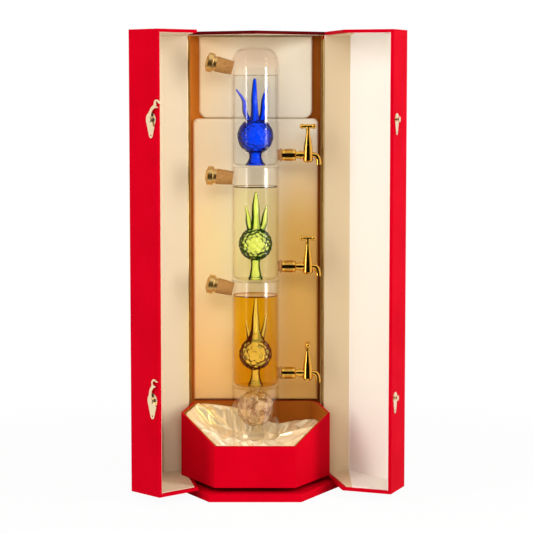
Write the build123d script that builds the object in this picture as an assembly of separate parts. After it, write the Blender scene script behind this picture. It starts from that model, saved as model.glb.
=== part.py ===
import math
import os

from build123d import *

# Frame: millimetres, the tower's axis is Z, the floor is Z = 0, the front is -Y.

# Case, plan of the closed doors (right half, outside faces)
hinge_x = 106.0
hinge_y = 36.0
side_corner_x = 126.0
side_corner_y = -2.0
front_corner_x = 66.5
front_y = -110.0
centre_gap_half = 0.4
board_apex_y = -34.0

# Case, opening of the doors as shown
right_open_deg = 68.0
left_open_deg = 47.0

# Case, boards and linings
plinth_height = 11.8
door_lift = 1.0
wall = 4.5
plate = 4.5
lining = 1.4
lining_rim = 6.0
lining_edge_inset = 1.2
corner_round = 3.0
plinth_margin = 2.2
edge_chamfer = 1.2
cap_height = 5.5
cap_rise = 0.5
cap_overhang = 1.0
cap_clear = 4.0

# Back shell and padded panels
back_outer_y = 64.0
back_wall = 5.0
lower_pad_side_gap = 4.0
upper_pad_side_gap = 13.5
pad_depth = 10.0
lower_pad_height = 439.5
pad_gap = 1.0
upper_pad_corner = 12.0
lower_pad_corner = 8.0
pad_edge_round = 3.0

# Tray and the riser below it
tray_clear = 4.1
tray_lift = 0.5
tray_rear_gap = 2.5
tray_wall = 4.0
tray_floor = 5.0
tray_front_height = 62.8
tray_side_height = 96.8
tray_back_height = 107.8
tray_level_depth = 4.0
tray_slope_end = 31.0
riser_clear = 2.5
riser_side_inset = 3.0

# Satin lining of the tray
satin_gap = 0.3
satin_rim_drop = 1.5
satin_edge_width = 3.0
satin_cover = 18.0
satin_rear_drop = 10.0
satin_fold_height = 5.0
satin_fold_count = 11
satin_divisions = 44
satin_foot_gap = 0.6
satin_middle_share = 0.45
satin_sag = 8.0

# Piano hinges
barrel_radius = 2.5
pin_radius = 1.0
pin_fit = 0.05
barrel_clear = 0.5
leaf_thickness = 0.8
leaf_half_gap = 0.15
leaf_width = 5.6
knuckle_count = 8
knuckle_gap = 0.6
hinge_end_margin = 12.6
pin_head = 1.5

# Hook latches and their catches
upper_latch_drop = 131.0
lower_latch_rise = 143.2
latch_from_edge = 14.0
hook_plate_radius = 11.0
hook_plate_drop = 23.0
catch_plate_radius = 9.0
catch_plate_drop = 19.0
latch_tail_radius = 4.2
latch_hole_radius = 1.3
latch_plate_thickness = 1.6
latch_post_radius = 2.5
latch_head_radius = 4.2
latch_head_thickness = 1.2
hook_gap = 0.4
hook_thickness = 2.2
hook_ring_radius = 5.8
hook_post_fit = 0.06
hook_slot_clear = 0.75
hook_head_radius = 6.2
hook_spur_length = 10.5
hook_spur_radius = 1.5
hook_spur_deg = 110.0
upper_hook_lean_deg = 35.0
lower_hook_lean_deg = 15.0
# Swan neck of a hook: x, height and half width, as shares of the reach from post to post
hook_neck_shares = ((0.0, 0.0, 0.13), (-0.15, 0.26, 0.11), (-0.17, 0.54, 0.09), (-0.05, 0.84, 0.10))

# Glass tower
tower_radius = 36.2
glass = 2.0
floor_glass = 3.5
foot_bed = 37.8
foot_height = 94.0
foot_flare = 0.9
foot_flare_height = 22.0
foot_rim = 5.0
lower_chamber_height = 164.0
middle_chamber_height = 174.0
upper_chamber_height = 182.0
tower_headroom = 19.0
dome_radius = 22.0
cavity_corner = 7.0
bulb_clear = 5.4
bulb_drop = 33.0
bulb_neck_radius = 8.0
bulb_neck_sink = 4.0

# Drinks: each level below the top of its chamber
drink_gap = 0.25
upper_level_drop = 43.0
middle_level_drop = 29.5
lower_level_drop = 22.0

# Stoppers: each port below the top of its chamber
upper_stopper_drop = 31.0
middle_stopper_drop = 16.0
lower_stopper_drop = 12.0
upper_stopper_tilt = 14.0
middle_stopper_tilt = 6.0
lower_stopper_tilt = 13.0
port_radius = 10.6
port_lip = 3.0
port_neck_out = 4.5
port_neck_round = 1.0
cork_fit = 0.06
cork_seat_gap = 0.4
cork_base_lip = 0.3
cork_top_lip = 1.2
cork_length = 18.5
collar_lip = 0.6
collar_length = 4.5
cap_radius = 14.4
cap_length = 9.5
cap_dome = 2.6
cap_round = 1.2

# Taps: each axis above the floor of its chamber
upper_tap_rise = 19.0
middle_tap_rise = 22.5
lower_tap_rise = 22.0
tap_pipe_radius = 4.75
bung_wall = 2.85
bung_inset = 0.2
bung_flange_gap = 0.8
bung_flange_thickness = 2.6
bung_flange_lip = 2.6
nut_gap = 0.2
nut_length = 22.0
nut_wall = 4.45
nut_chamfer = 1.0
nut_groove_depth = 0.9
nut_groove_width = 1.4
nut_groove_shares = (0.14, 0.86)
neck_radius = 5.4
ring_gap = 5.2
ring_radius = 6.9
ring_width = 3.2
seat_reach = 18.2
seat_bottom_radius = 8.2
seat_top_radius = 6.6
seat_drop = 8.4
seat_rise = 15.0
seat_tip_radius = 5.0
seat_tip_drop = 3.0
key_radius = 4.0
key_fit = 0.04
key_drop = 4.0
key_gap = 0.5
key_skirt_radius = 6.2
key_waist_radius = 3.0
key_waist_rise = 18.0
key_neck_radius = 3.8
key_neck_rise = 10.0
bar_radius = 3.4
bar_half = 9.0
bar_knob_radius = 3.9
flow_radius = 2.0
spout_radius = 4.1
spout_root = 2.0
spout_bend_reach = 12.0
spout_bend_drop = 1.0
spout_reach = 16.5
spout_drop = 14.5
spout_bore_radius = 2.4
spout_bore_depth = 7.0

# Agave ornaments
foot_pad_height = 2.5
ball_sink = 3.0
blue_foot_radius = 15.0
blue_stem_radius = 9.5
blue_stem_height = 16.5
blue_ball_clear = 6.4
blue_tip_gap = 4.5
green_foot_radius = 11.0
green_stem_radius = 7.0
green_stem_height = 27.5
green_ball_clear = 8.2
green_tip_gap = 8.0
clear_foot_radius = 11.5
clear_stem_radius = 6.5
clear_stem_height = 22.5
clear_ball_clear = 8.7
clear_tip_gap = 3.5

# Leaves: rows of x and y as shares of the bore, height as a share of the way from
# the root to the tip, and radius as a share of the ball
leaf_root_share = 0.62
pear_root_share = 0.26
blue_leaf_shares = (
    (
        (-0.02, -0.19, 0.0, 0.30), (-0.03, -0.19, 0.28, 0.19),
        (-0.05, -0.19, 0.65, 0.16), (-0.03, -0.19, 1.0, 0.09),
    ),
    ((-0.18, 0.0, 0.0, 0.17), (-0.46, 0.0, 0.27, 0.13), (-0.52, 0.0, 0.53, 0.11), (-0.84, 0.0, 0.77, 0.06)),
    ((0.2, -0.03, 0.0, 0.2), (0.34, -0.03, 0.24, 0.17), (0.38, -0.03, 0.58, 0.12), (0.52, -0.03, 0.82, 0.05)),
    ((0.0, 0.2, 0.0, 0.2), (-0.02, 0.34, 0.3, 0.15), (-0.04, 0.42, 0.55, 0.11), (-0.04, 0.48, 0.78, 0.05)),
)
green_leaf_shares = (
    ((0.0, -0.12, 0.0, 0.30), (0.01, -0.12, 0.32, 0.235), (0.01, -0.12, 0.7, 0.2), (0.02, -0.12, 1.0, 0.08)),
    ((-0.18, 0.0, 0.0, 0.19), (-0.3, 0.0, 0.27, 0.17), (-0.36, 0.0, 0.5, 0.1), (-0.45, 0.0, 0.67, 0.045)),
    ((0.2, 0.0, 0.0, 0.2), (0.37, 0.0, 0.23, 0.19), (0.43, 0.0, 0.47, 0.14), (0.51, 0.0, 0.68, 0.045)),
    ((0.0, 0.25, 0.0, 0.2), (0.02, 0.34, 0.27, 0.16), (0.02, 0.4, 0.51, 0.11), (0.03, 0.44, 0.7, 0.05)),
)
clear_leaf_shares = (
    (
        (0.0, -0.06, 0.0, 0.84), (0.0, -0.06, 0.16, 0.57), (0.0, -0.06, 0.34, 0.29),
        (0.0, -0.06, 0.68, 0.19), (0.02, -0.06, 1.0, 0.1),
    ),
    (
        (-0.22, 0.06, 0.1, 0.19), (-0.3, 0.06, 0.3, 0.13),
        (-0.37, 0.06, 0.43, 0.09), (-0.42, 0.06, 0.55, 0.045),
    ),
    ((0.22, 0.06, 0.1, 0.19), (0.35, 0.06, 0.36, 0.13), (0.43, 0.06, 0.53, 0.09), (0.48, 0.06, 0.69, 0.045)),
    ((0.0, 0.3, 0.1, 0.19), (0.0, 0.38, 0.33, 0.14), (0.0, 0.44, 0.5, 0.1), (0.0, 0.47, 0.66, 0.05)),
)

# Heights that follow from the sizes
door_bottom_z = plinth_height + door_lift
floor_z = door_bottom_z + plate
tray_bottom_z = floor_z + lining + tray_lift
tray_front_rim_z = tray_bottom_z + tray_front_height
tray_side_rim_z = tray_bottom_z + tray_side_height
tray_back_rim_z = tray_bottom_z + tray_back_height
foot_bottom_z = tray_bottom_z + tray_floor + foot_bed
lower_floor_z = foot_bottom_z + foot_height
middle_floor_z = lower_floor_z + lower_chamber_height
upper_floor_z = middle_floor_z + middle_chamber_height
tower_top_z = upper_floor_z + upper_chamber_height
cap_bottom_z = tower_top_z + tower_headroom
cap_top_z = cap_bottom_z + cap_height
door_top_z = cap_top_z - cap_rise
ceiling_z = door_top_z - plate
hinge_bottom_z = door_bottom_z + hinge_end_margin
hinge_top_z = door_top_z - hinge_end_margin
upper_latch_z = door_top_z - upper_latch_drop
lower_latch_z = door_bottom_z + lower_latch_rise

# Plan places that follow from the sizes
barrel_room = barrel_radius + barrel_clear
shell_inner_x = hinge_x - back_wall
pad_back_y = back_outer_y - back_wall
tray_rear_y = pad_back_y - pad_depth - tray_rear_gap
bore_radius = tower_radius - glass
port_neck_radius = port_radius + port_lip

UP = (0, 0, 1)
LOW = (Align.CENTER, Align.CENTER, Align.MIN)
os.makedirs("parts", exist_ok=True)
nodes = {}


def prism(points, low, high):
    """A polygon of the plan, extruded between two heights."""
    face = make_face(Polyline(*points, close=True))
    return Pos(0, 0, low) * extrude(face, amount=high - low, dir=UP)


def turned(points):
    """A profile of radius and height pairs, turned about the tower's axis."""
    return revolve(Plane.XZ * make_face(Polyline(*points, close=True)), axis=Axis.Z)


def turned_face(face):
    """A profile face, turned about the tower's axis."""
    return revolve(Plane.XZ * face, axis=Axis.Z)


def rod(origin, direction, radius, low, high):
    """A round bar on an axis, between two distances from the origin."""
    along = Plane(origin=origin, z_dir=direction)
    return along * Pos(0, 0, low) * Cylinder(radius, high - low, align=LOW)


def taper(origin, direction, radius_low, radius_high, low, high):
    """A cone frustum on an axis, between two distances from the origin."""
    along = Plane(origin=origin, z_dir=direction)
    return along * Pos(0, 0, low) * Cone(radius_low, radius_high, high - low, align=LOW)


def rounded(face, points, radius):
    """A face with the corners nearest to the points rounded."""
    picked = [face.vertices().sort_by_distance((*p, 0))[0] for p in points]
    return fillet(picked, radius)


def meet(p, d, q, e):
    """The crossing of two plan lines, each a point and a direction."""
    cross = d[0] * e[1] - d[1] * e[0]
    t = ((q[0] - p[0]) * e[1] - (q[1] - p[1]) * e[0]) / cross
    return (p[0] + t * d[0], p[1] + t * d[1])


def unit(a, b):
    """The direction from one plan point to another."""
    length = math.hypot(b[0] - a[0], b[1] - a[1])
    return ((b[0] - a[0]) / length, (b[1] - a[1]) / length)


def shift(p, d, distance):
    """A plan point moved along a direction."""
    return (p[0] + d[0] * distance, p[1] + d[1] * distance)


def left(d):
    """The direction a quarter turn to the left in plan."""
    return (-d[1], d[0])


def mirrored(points):
    """Plan points of the left half from those of the right half."""
    return [(-x, y) for x, y in reversed(points)]


# Directions of the right door in its closed place
hinge = (hinge_x, hinge_y)
side = (side_corner_x, side_corner_y)
front = (front_corner_x, front_y)
free = (centre_gap_half, front_y)
d_front = unit(free, front)
d_diag = unit(front, side)
d_side = unit(side, hinge)
angle_side = math.atan2(side[1] - hinge[1], side[0] - hinge[0]) + 2 * math.pi
angle_split = (math.pi / 2 + angle_side) / 2
d_split = (math.cos(angle_split), math.sin(angle_split))
n_split = (d_split[1], -d_split[0])
end_offset = leaf_half_gap + leaf_thickness


def door_line(depth):
    """The door's faces at a depth inside its outer face, free edge to hinge."""
    a = shift(free, left(d_front), depth)
    b = shift(front, left(d_diag), depth)
    c = shift(side, left(d_side), depth)
    corner_front = meet(a, d_front, b, d_diag)
    corner_side = meet(b, d_diag, c, d_side)
    end_line = shift(hinge, n_split, -end_offset)
    return [a, corner_front, corner_side, meet(c, d_side, end_line, d_split)]


outer_line = door_line(0)
inner_line = door_line(wall)
lined_line = door_line(wall + lining)

apex = (centre_gap_half, board_apex_y)
plate_points = [*inner_line, apex]


def door_shell():
    """The three outer walls of a door."""
    ring = prism([*outer_line, *reversed(inner_line)], door_bottom_z, door_top_z)
    corner_edges = [
        e for e in ring.edges().filter_by(Axis.Z)
        if min(math.dist((e.center().X, e.center().Y), p) for p in outer_line[1:3]) < wall / 2
    ]
    ring = fillet(corner_edges, corner_round)
    return ring - Pos(*hinge, 0) * Cylinder(barrel_room, door_top_z, align=LOW)


def door_plate(low):
    """A floor or a roof board of a door."""
    room = Pos(*hinge, 0) * Cylinder(barrel_room + lining, door_top_z, align=LOW)
    return prism(plate_points, low, low + plate) - room


def door_lining():
    """The cream lining of a door: walls, floor and roof in one skin."""
    low = floor_z
    high = ceiling_z
    start = [shift(p, d_front, lining_edge_inset) for p in (inner_line[0], lined_line[0])]
    walls = [start[0], *inner_line[1:], *reversed(lined_line[1:]), start[1]]
    skin = prism(walls, low, high)
    edge = unit(apex, inner_line[3])
    rim_start = shift(inner_line[0], d_front, lining_rim)
    rim_line = shift(apex, left(edge), -lining_rim)
    inner_apex = meet(rim_start, left(d_front), rim_line, edge)
    near_hinge = meet(rim_line, edge, inner_line[3], d_side)
    field = [rim_start, inner_line[1], inner_line[2], near_hinge, inner_apex]
    skin = skin + prism(field, low, low + lining)
    skin = skin + prism(field, high - lining, high)
    room = Pos(*hinge, 0) * Cylinder(barrel_room + lining, door_top_z, align=LOW)
    return skin - room


def hinge_spans(first):
    """The heights of every other knuckle of a piano hinge."""
    pitch = (hinge_top_z - hinge_bottom_z) / knuckle_count
    spans = []
    for k in range(first, knuckle_count, 2):
        low = hinge_bottom_z + k * pitch
        spans.append((low + knuckle_gap / 2, low + pitch - knuckle_gap / 2))
    return spans


def hinge_leaf(first, sign):
    """A leaf of the right piano hinge; the sign is 1 on the body, -1 on the door."""
    near = leaf_half_gap * sign
    far = end_offset * sign

    def strip(start, end):
        a = shift(shift(hinge, d_split, start), n_split, near)
        b = shift(shift(hinge, d_split, end), n_split, near)
        c = shift(shift(hinge, d_split, end), n_split, far)
        d = shift(shift(hinge, d_split, start), n_split, far)
        return [a, b, c, d]

    leaf = prism(strip(barrel_room, leaf_width), hinge_bottom_z, hinge_top_z)
    for low, high in hinge_spans(first):
        leaf = leaf + prism(strip(pin_radius, barrel_room), low, high)
        leaf = leaf + Pos(*hinge, low) * Cylinder(barrel_radius, high - low, align=LOW)
    bore = Pos(*hinge, hinge_bottom_z) * Cylinder(pin_radius + pin_fit, hinge_top_z, align=LOW)
    return leaf - bore


def hinge_pin():
    """The pin of the right piano hinge with a small head at the top."""
    length = hinge_top_z - hinge_bottom_z
    pin = Pos(*hinge, hinge_bottom_z) * Cylinder(pin_radius, length, align=LOW)
    return pin + Pos(*hinge, hinge_top_z) * Cylinder(barrel_radius, pin_head, align=LOW)


def strap(start, end, start_radius, end_radius):
    """A flat strap with round ends, between two places of a face."""
    ends = Pos(*start) * Circle(start_radius) + Pos(*end) * Circle(end_radius)
    return make_hull(ends.edges())


def latch_sheet(centre_x, centre_z, radius, drop):
    """A cast drop-shaped plate on the closed front face, with a small hole in its tail."""
    shape = strap((0, 0), (0, -drop), radius, latch_tail_radius)
    shape = shape - Pos(0, -drop) * Circle(latch_hole_radius)
    plane = Plane(origin=(centre_x, front_y, centre_z), x_dir=(1, 0, 0), z_dir=(0, -1, 0))
    return plane * extrude(shape, amount=latch_plate_thickness)


hook_near = latch_plate_thickness + hook_gap
hook_far = hook_near + hook_thickness
head_near = hook_far + hook_gap


def latch_post(centre_x, centre_z):
    """The post and head that hold a hook or receive one."""
    base = (centre_x, front_y, centre_z)
    post = rod(base, (0, -1, 0), latch_post_radius, latch_plate_thickness, head_near)
    head = rod(base, (0, -1, 0), latch_head_radius, head_near, head_near + latch_head_thickness)
    return post + head


def hook_plate(z):
    """The plate of a hook on the left door in its closed place."""
    x = -latch_from_edge
    sheet = latch_sheet(x, z, hook_plate_radius, hook_plate_drop)
    return sheet + latch_post(x, z)


def catch_plate(z):
    """The plate of a catch on the right door in its closed place."""
    x = latch_from_edge
    sheet = latch_sheet(x, z, catch_plate_radius, catch_plate_drop)
    return sheet + latch_post(x, z)


def hook(z, lean_deg):
    """A swan-necked hook on the left door, raised and leaning to the free edge, in the door's closed place."""
    reach = 2 * latch_from_edge
    neck = [(x * reach, up * reach, half * reach) for x, up, half in hook_neck_shares]
    neck.append((0, reach, hook_head_radius))
    outline = Circle(hook_ring_radius)
    for (x, up, half), (next_x, next_up, next_half) in zip(neck, neck[1:]):
        outline = outline + strap((x, up), (next_x, next_up), half, next_half)
    spur_turn = math.radians(hook_spur_deg)
    spur_end = (hook_spur_length * math.sin(spur_turn), hook_spur_length * math.cos(spur_turn))
    outline = outline + strap((0, 0), spur_end, 2 * hook_spur_radius, hook_spur_radius)
    outline = outline - Circle(latch_post_radius + hook_post_fit)
    slot_half = latch_post_radius + hook_slot_clear
    slot = Pos(0, reach) * Circle(slot_half)
    slot = slot + Pos(hook_head_radius, reach) * Rectangle(2 * hook_head_radius, 2 * slot_half)
    outline = Rot(0, 0, -lean_deg) * (outline - slot)
    plane = Plane(
        origin=(-latch_from_edge, front_y - hook_near, z), x_dir=(1, 0, 0), z_dir=(0, -1, 0)
    )
    return plane * extrude(outline, amount=hook_thickness)


def open_right(shape):
    """A piece of the right door, moved from its closed place to the place shown."""
    return Pos(*hinge, 0) * Rot(0, 0, right_open_deg) * Pos(-hinge_x, -hinge_y, 0) * shape


def open_left(shape):
    """A piece of the left door, moved from its closed place to the place shown."""
    return Pos(-hinge_x, hinge_y, 0) * Rot(0, 0, -left_open_deg) * Pos(hinge_x, -hinge_y, 0) * shape


# Plinth
plinth_right = [
    (0, front_y - plinth_margin),
    (front_corner_x + plinth_margin, front_y - plinth_margin),
    (side_corner_x + plinth_margin, side_corner_y),
    (hinge_x + plinth_margin, hinge_y + plinth_margin),
    (hinge_x + plinth_margin, back_outer_y + plinth_margin),
]
plinth_outline = plinth_right[1:] + mirrored(plinth_right[1:])
plinth = prism(plinth_outline, 0, plinth_height)
plinth = chamfer(plinth.faces().sort_by(Axis.Z)[-1].edges(), edge_chamfer)
nodes["plinth"] = plinth

# Back shell: a shallow channel with its open side to the front
end_line = shift(hinge, n_split, end_offset)
end_outer = meet(end_line, d_split, hinge, (0, 1))
end_inner = meet(end_line, d_split, (shell_inner_x, 0), (0, 1))
shell_right = [
    end_outer,
    (hinge_x, back_outer_y),
]
shell_inner_right = [
    (shell_inner_x, pad_back_y),
    end_inner,
]
shell_outline = shell_right + mirrored(shell_right) + mirrored(shell_inner_right) + shell_inner_right
back_shell = prism(shell_outline, plinth_height, cap_bottom_z)
for sign in (-1, 1):
    room = Pos(sign * hinge_x, hinge_y, 0) * Cylinder(barrel_room, cap_top_z, align=LOW)
    back_shell = back_shell - room
nodes["back_shell"] = back_shell

# Riser and top cap: both fill the wedge between the doors' boards
board_edge = unit(apex, inner_line[3])


def wedge_line(clear):
    """A point on the wedge's right edge, set back from the doors' boards."""
    return shift(apex, left(board_edge), clear)


tray_line = door_line(wall + lining + tray_clear)
tray_rear_x = meet(tray_line[2], d_side, (0, tray_rear_y), (1, 0))[0]
riser_side_x = tray_rear_x - riser_side_inset
riser_right = [
    meet(wedge_line(riser_clear), board_edge, (riser_side_x, 0), (0, 1)),
    (riser_side_x, tray_rear_y),
]
riser_apex = meet(wedge_line(riser_clear), board_edge, (0, 0), (0, 1))
nodes["tray_riser"] = prism([riser_apex, *riser_right, *mirrored(riser_right)], plinth_height, tray_bottom_z)
cap_step_x = hinge_x - barrel_room - cap_clear
cap_step_y = hinge_y + cap_clear
cap_right = [
    meet(wedge_line(cap_clear), board_edge, (cap_step_x - cap_clear, 0), (0, 1)),
    (cap_step_x, cap_step_y),
    (hinge_x + cap_overhang, cap_step_y),
    (hinge_x + cap_overhang, back_outer_y + cap_overhang),
]
cap_apex = meet(wedge_line(cap_clear), board_edge, (0, 0), (0, 1))
top_cap = prism([cap_apex, *cap_right, *mirrored(cap_right)], cap_bottom_z, cap_top_z)
nodes["top_cap"] = chamfer(top_cap.faces().sort_by(Axis.Z)[-1].edges(), edge_chamfer)


def pad(half, low, high, corner, rounded_top):
    """A padded panel on the back wall with two rounded corners and soft edges."""
    height = high - low
    shape = Pos(0, (low + high) / 2) * Rectangle(2 * half, height)
    corners = shape.vertices().sort_by(Axis.Y)
    shape = fillet(corners[-2:] if rounded_top else corners[:2], corner)
    plane = Plane(origin=(0, pad_back_y, 0), x_dir=(1, 0, 0), z_dir=(0, -1, 0))
    body = plane * extrude(shape, amount=pad_depth)
    return fillet(body.faces().sort_by(Axis.Y)[0].edges(), pad_edge_round)


lower_pad_bottom_z = tray_back_rim_z + pad_gap
pad_split_z = lower_pad_bottom_z + lower_pad_height
nodes["upper_back_pad"] = pad(
    shell_inner_x - upper_pad_side_gap, pad_split_z + pad_gap, cap_bottom_z - pad_gap, upper_pad_corner, False
)
nodes["lower_back_pad"] = pad(
    shell_inner_x - lower_pad_side_gap, lower_pad_bottom_z, pad_split_z, lower_pad_corner, True
)

# Tray with a sloping rim
tray_right = [
    tray_line[1],
    tray_line[2],
    (tray_rear_x, tray_rear_y),
]
tray_outline = tray_right + mirrored(tray_right)
tray_front_y = tray_line[1][1]
tray_side_x = tray_line[2][0]
tray_side_y = tray_line[2][1]


def inset_outline(points, distance):
    """A closed plan outline moved inwards."""
    count = len(points)
    lines = []
    for k in range(count):
        d = unit(points[k], points[(k + 1) % count])
        lines.append((shift(points[k], left(d), distance), d))
    return [meet(*lines[k - 1], *lines[k]) for k in range(count)]


tray_inner = inset_outline(tray_outline, tray_wall)
tray_top_z = tray_back_rim_z
tray = prism(tray_outline, tray_bottom_z, tray_top_z)
tray = tray - prism(tray_inner, tray_bottom_z + tray_floor, tray_top_z)
slope_profile = [
    (tray_front_y - tray_wall, tray_front_rim_z),
    (tray_front_y + tray_level_depth, tray_front_rim_z),
    (tray_side_y, tray_side_rim_z),
    (tray_slope_end, tray_back_rim_z),
    (tray_slope_end, tray_top_z + tray_wall),
    (tray_front_y - tray_wall, tray_top_z + tray_wall),
]
slope_cut = extrude(
    Plane.YZ * make_face(Polyline(*slope_profile, close=True)), amount=tray_side_x + tray_wall, both=True
)
nodes["tray"] = tray - slope_cut


def rim_height(y):
    """The height of the tray's rim at a depth of the plan."""
    level_end = tray_front_y + tray_level_depth
    if y < level_end:
        return tray_front_rim_z
    if y < tray_side_y:
        share = (y - level_end) / (tray_side_y - level_end)
        return tray_front_rim_z + share * (tray_side_rim_z - tray_front_rim_z)
    share = min(1.0, (y - tray_side_y) / (tray_slope_end - tray_side_y))
    return tray_side_rim_z + share * (tray_back_rim_z - tray_side_rim_z)


def ray_hit(outline, angle):
    """The point where a ray from the tower's axis leaves an outline."""
    d = (math.cos(angle), math.sin(angle))
    best = None
    for k in range(len(outline)):
        a = outline[k]
        b = outline[(k + 1) % len(outline)]
        e = (b[0] - a[0], b[1] - a[1])
        cross = d[0] * e[1] - d[1] * e[0]
        if cross == 0:
            continue
        t = (a[0] * e[1] - a[1] * e[0]) / cross
        s = (a[0] * d[1] - a[1] * d[0]) / cross
        if t > 0 and 0 <= s <= 1 and (best is None or t < best):
            best = t
    return best


def satin():
    """The draped lining of the tray: a closed cushion with folds running to the foot."""
    outline = inset_outline(tray_outline, tray_wall + satin_gap)
    base_z = tray_bottom_z + tray_floor + satin_gap
    hole = tower_radius + foot_flare + satin_foot_gap
    rings = [[], [], [], [], [], []]
    for k in range(satin_divisions):
        angle = 2 * math.pi * k / satin_divisions
        c, s = math.cos(angle), math.sin(angle)
        reach = ray_hit(outline, angle)
        fold = satin_fold_height * math.sin(satin_fold_count * angle)
        edge_z = min(rim_height(reach * s) - satin_rim_drop, tray_side_rim_z)
        lean = (1 - s) / 2
        low_z = foot_bottom_z + satin_cover - satin_rear_drop * (1 - lean)
        mid = hole + (reach - hole) * satin_middle_share
        mid_z = low_z + (edge_z - low_z) * satin_middle_share - satin_sag * (1 - lean) + fold
        mid_z = min(mid_z, edge_z)
        rings[0].append((hole * c, hole * s, foot_bottom_z - satin_gap))
        rings[1].append((hole * c, hole * s, low_z))
        rings[2].append((mid * c, mid * s, mid_z))
        rings[3].append(((reach - satin_edge_width) * c, (reach - satin_edge_width) * s, edge_z))
        rings[4].append((reach * c, reach * s, edge_z - satin_edge_width))
        rings[5].append((reach * c, reach * s, base_z))
    faces = []

    def triangle(a, b, c):
        faces.append(Face(Wire.make_polygon([Vector(*p) for p in (a, b, c)], close=True)))

    for lower, upper in zip(rings[:-1], rings[1:]):
        for k in range(satin_divisions):
            n = (k + 1) % satin_divisions
            triangle(lower[k], lower[n], upper[k])
            triangle(upper[k], lower[n], upper[n])
    floor_ring = [Vector(*p) for p in rings[5]]
    seat_ring = [Vector(*p) for p in rings[0]]
    faces.append(Face(Wire.make_polygon(floor_ring, close=True)))
    faces.append(Face(Wire.make_polygon(seat_ring, close=True)))
    solid = Solid(Shell(faces))
    return solid


nodes["satin_lining"] = satin()

# Hinges on the body
nodes["right_hinge_body_leaf"] = hinge_leaf(0, 1)
nodes["right_hinge_pin"] = hinge_pin()
nodes["left_hinge_body_leaf"] = mirror(hinge_leaf(0, 1), Plane.YZ)
nodes["left_hinge_pin"] = mirror(hinge_pin(), Plane.YZ)

# Right door
nodes["right_door_shell"] = open_right(door_shell())
nodes["right_door_floor"] = open_right(door_plate(door_bottom_z))
nodes["right_door_roof"] = open_right(door_plate(ceiling_z))
nodes["right_door_lining"] = open_right(door_lining())
nodes["right_hinge_door_leaf"] = open_right(hinge_leaf(1, -1))
nodes["upper_catch"] = open_right(catch_plate(upper_latch_z))
nodes["lower_catch"] = open_right(catch_plate(lower_latch_z))

# Left door
nodes["left_door_shell"] = open_left(mirror(door_shell(), Plane.YZ))
nodes["left_door_floor"] = open_left(mirror(door_plate(door_bottom_z), Plane.YZ))
nodes["left_door_roof"] = open_left(mirror(door_plate(ceiling_z), Plane.YZ))
nodes["left_door_lining"] = open_left(mirror(door_lining(), Plane.YZ))
nodes["left_hinge_door_leaf"] = open_left(mirror(hinge_leaf(1, -1), Plane.YZ))
nodes["upper_hook_plate"] = open_left(hook_plate(upper_latch_z))
nodes["lower_hook_plate"] = open_left(hook_plate(lower_latch_z))
nodes["upper_hook"] = open_left(hook(upper_latch_z, upper_hook_lean_deg))
nodes["lower_hook"] = open_left(hook(lower_latch_z, lower_hook_lean_deg))

# Glass tower
def cavity(floor_z0, top, gap, top_round):
    """The hollow of a chamber, or the drink in it, with a rounded floor corner."""
    radius = bore_radius - gap
    low = floor_z0 + floor_glass + gap
    face = make_face(Polyline((0, low), (radius, low), (radius, top), (0, top), close=True))
    corner = [(radius, low)]
    face = rounded(face, corner, cavity_corner - gap)
    if top_round:
        face = rounded(face, [(radius, top)], top_round)
    return turned_face(face)


def port_axis(z, tilt):
    """The start and the direction of a stopper's axis."""
    angle = math.radians(tilt)
    return (-tower_radius, 0, z), (-math.cos(angle), 0, math.sin(angle))


def chamber(low, high, hollow, stopper_z, tilt, tap_z, dome):
    """A glass chamber with a stopper neck on the left and a tap hole on the right."""
    face = make_face(Polyline((0, low), (tower_radius, low), (tower_radius, high), (0, high), close=True))
    if dome:
        face = rounded(face, [(tower_radius, high)], dome)
    body = turned_face(face)
    start, along = port_axis(stopper_z, tilt)
    neck = rod(start, along, port_neck_radius, -port_neck_radius, port_neck_out)
    neck = fillet(neck.edges().filter_by(GeomType.CIRCLE).sort_by(Axis.X)[:1], port_neck_round)
    neck = neck & (Pos(0, 0, low) * Cylinder(2 * tower_radius, high - low, align=LOW))
    body = body + neck - hollow
    body = body - rod(start, along, port_radius, -port_neck_radius, 2 * port_neck_out)
    return body - rod((0, 0, tap_z), (1, 0, 0), tap_pipe_radius + bung_wall, 0, 2 * tower_radius)


upper_stopper_z = tower_top_z - upper_stopper_drop
middle_stopper_z = upper_floor_z - middle_stopper_drop
lower_stopper_z = middle_floor_z - lower_stopper_drop
upper_tap_z = upper_floor_z + upper_tap_rise
middle_tap_z = middle_floor_z + middle_tap_rise
lower_tap_z = lower_floor_z + lower_tap_rise
upper_hollow = cavity(upper_floor_z, tower_top_z - glass, 0, dome_radius - glass)
middle_hollow = cavity(middle_floor_z, upper_floor_z, 0, 0)
lower_hollow = cavity(lower_floor_z, middle_floor_z, 0, 0)
nodes["upper_chamber"] = chamber(
    upper_floor_z, tower_top_z, upper_hollow, upper_stopper_z, upper_stopper_tilt, upper_tap_z, dome_radius
)
nodes["middle_chamber"] = chamber(
    middle_floor_z, upper_floor_z, middle_hollow, middle_stopper_z, middle_stopper_tilt, middle_tap_z, 0
)
nodes["lower_chamber"] = chamber(
    lower_floor_z, middle_floor_z, lower_hollow, lower_stopper_z, lower_stopper_tilt, lower_tap_z, 0
)
foot_profile = [
    (bore_radius, lower_floor_z),
    (tower_radius, lower_floor_z),
    (tower_radius, foot_bottom_z + foot_flare_height),
    (tower_radius + foot_flare, foot_bottom_z + foot_rim),
    (tower_radius + foot_flare, foot_bottom_z),
    (bore_radius, foot_bottom_z),
]
nodes["glass_foot"] = turned(foot_profile)
bulb_radius = bore_radius - bulb_clear
bulb_z = lower_floor_z - bulb_drop
bulb = Pos(0, 0, bulb_z) * Sphere(bulb_radius)
bulb_neck_low = bulb_z + bulb_radius - bulb_neck_sink
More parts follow.
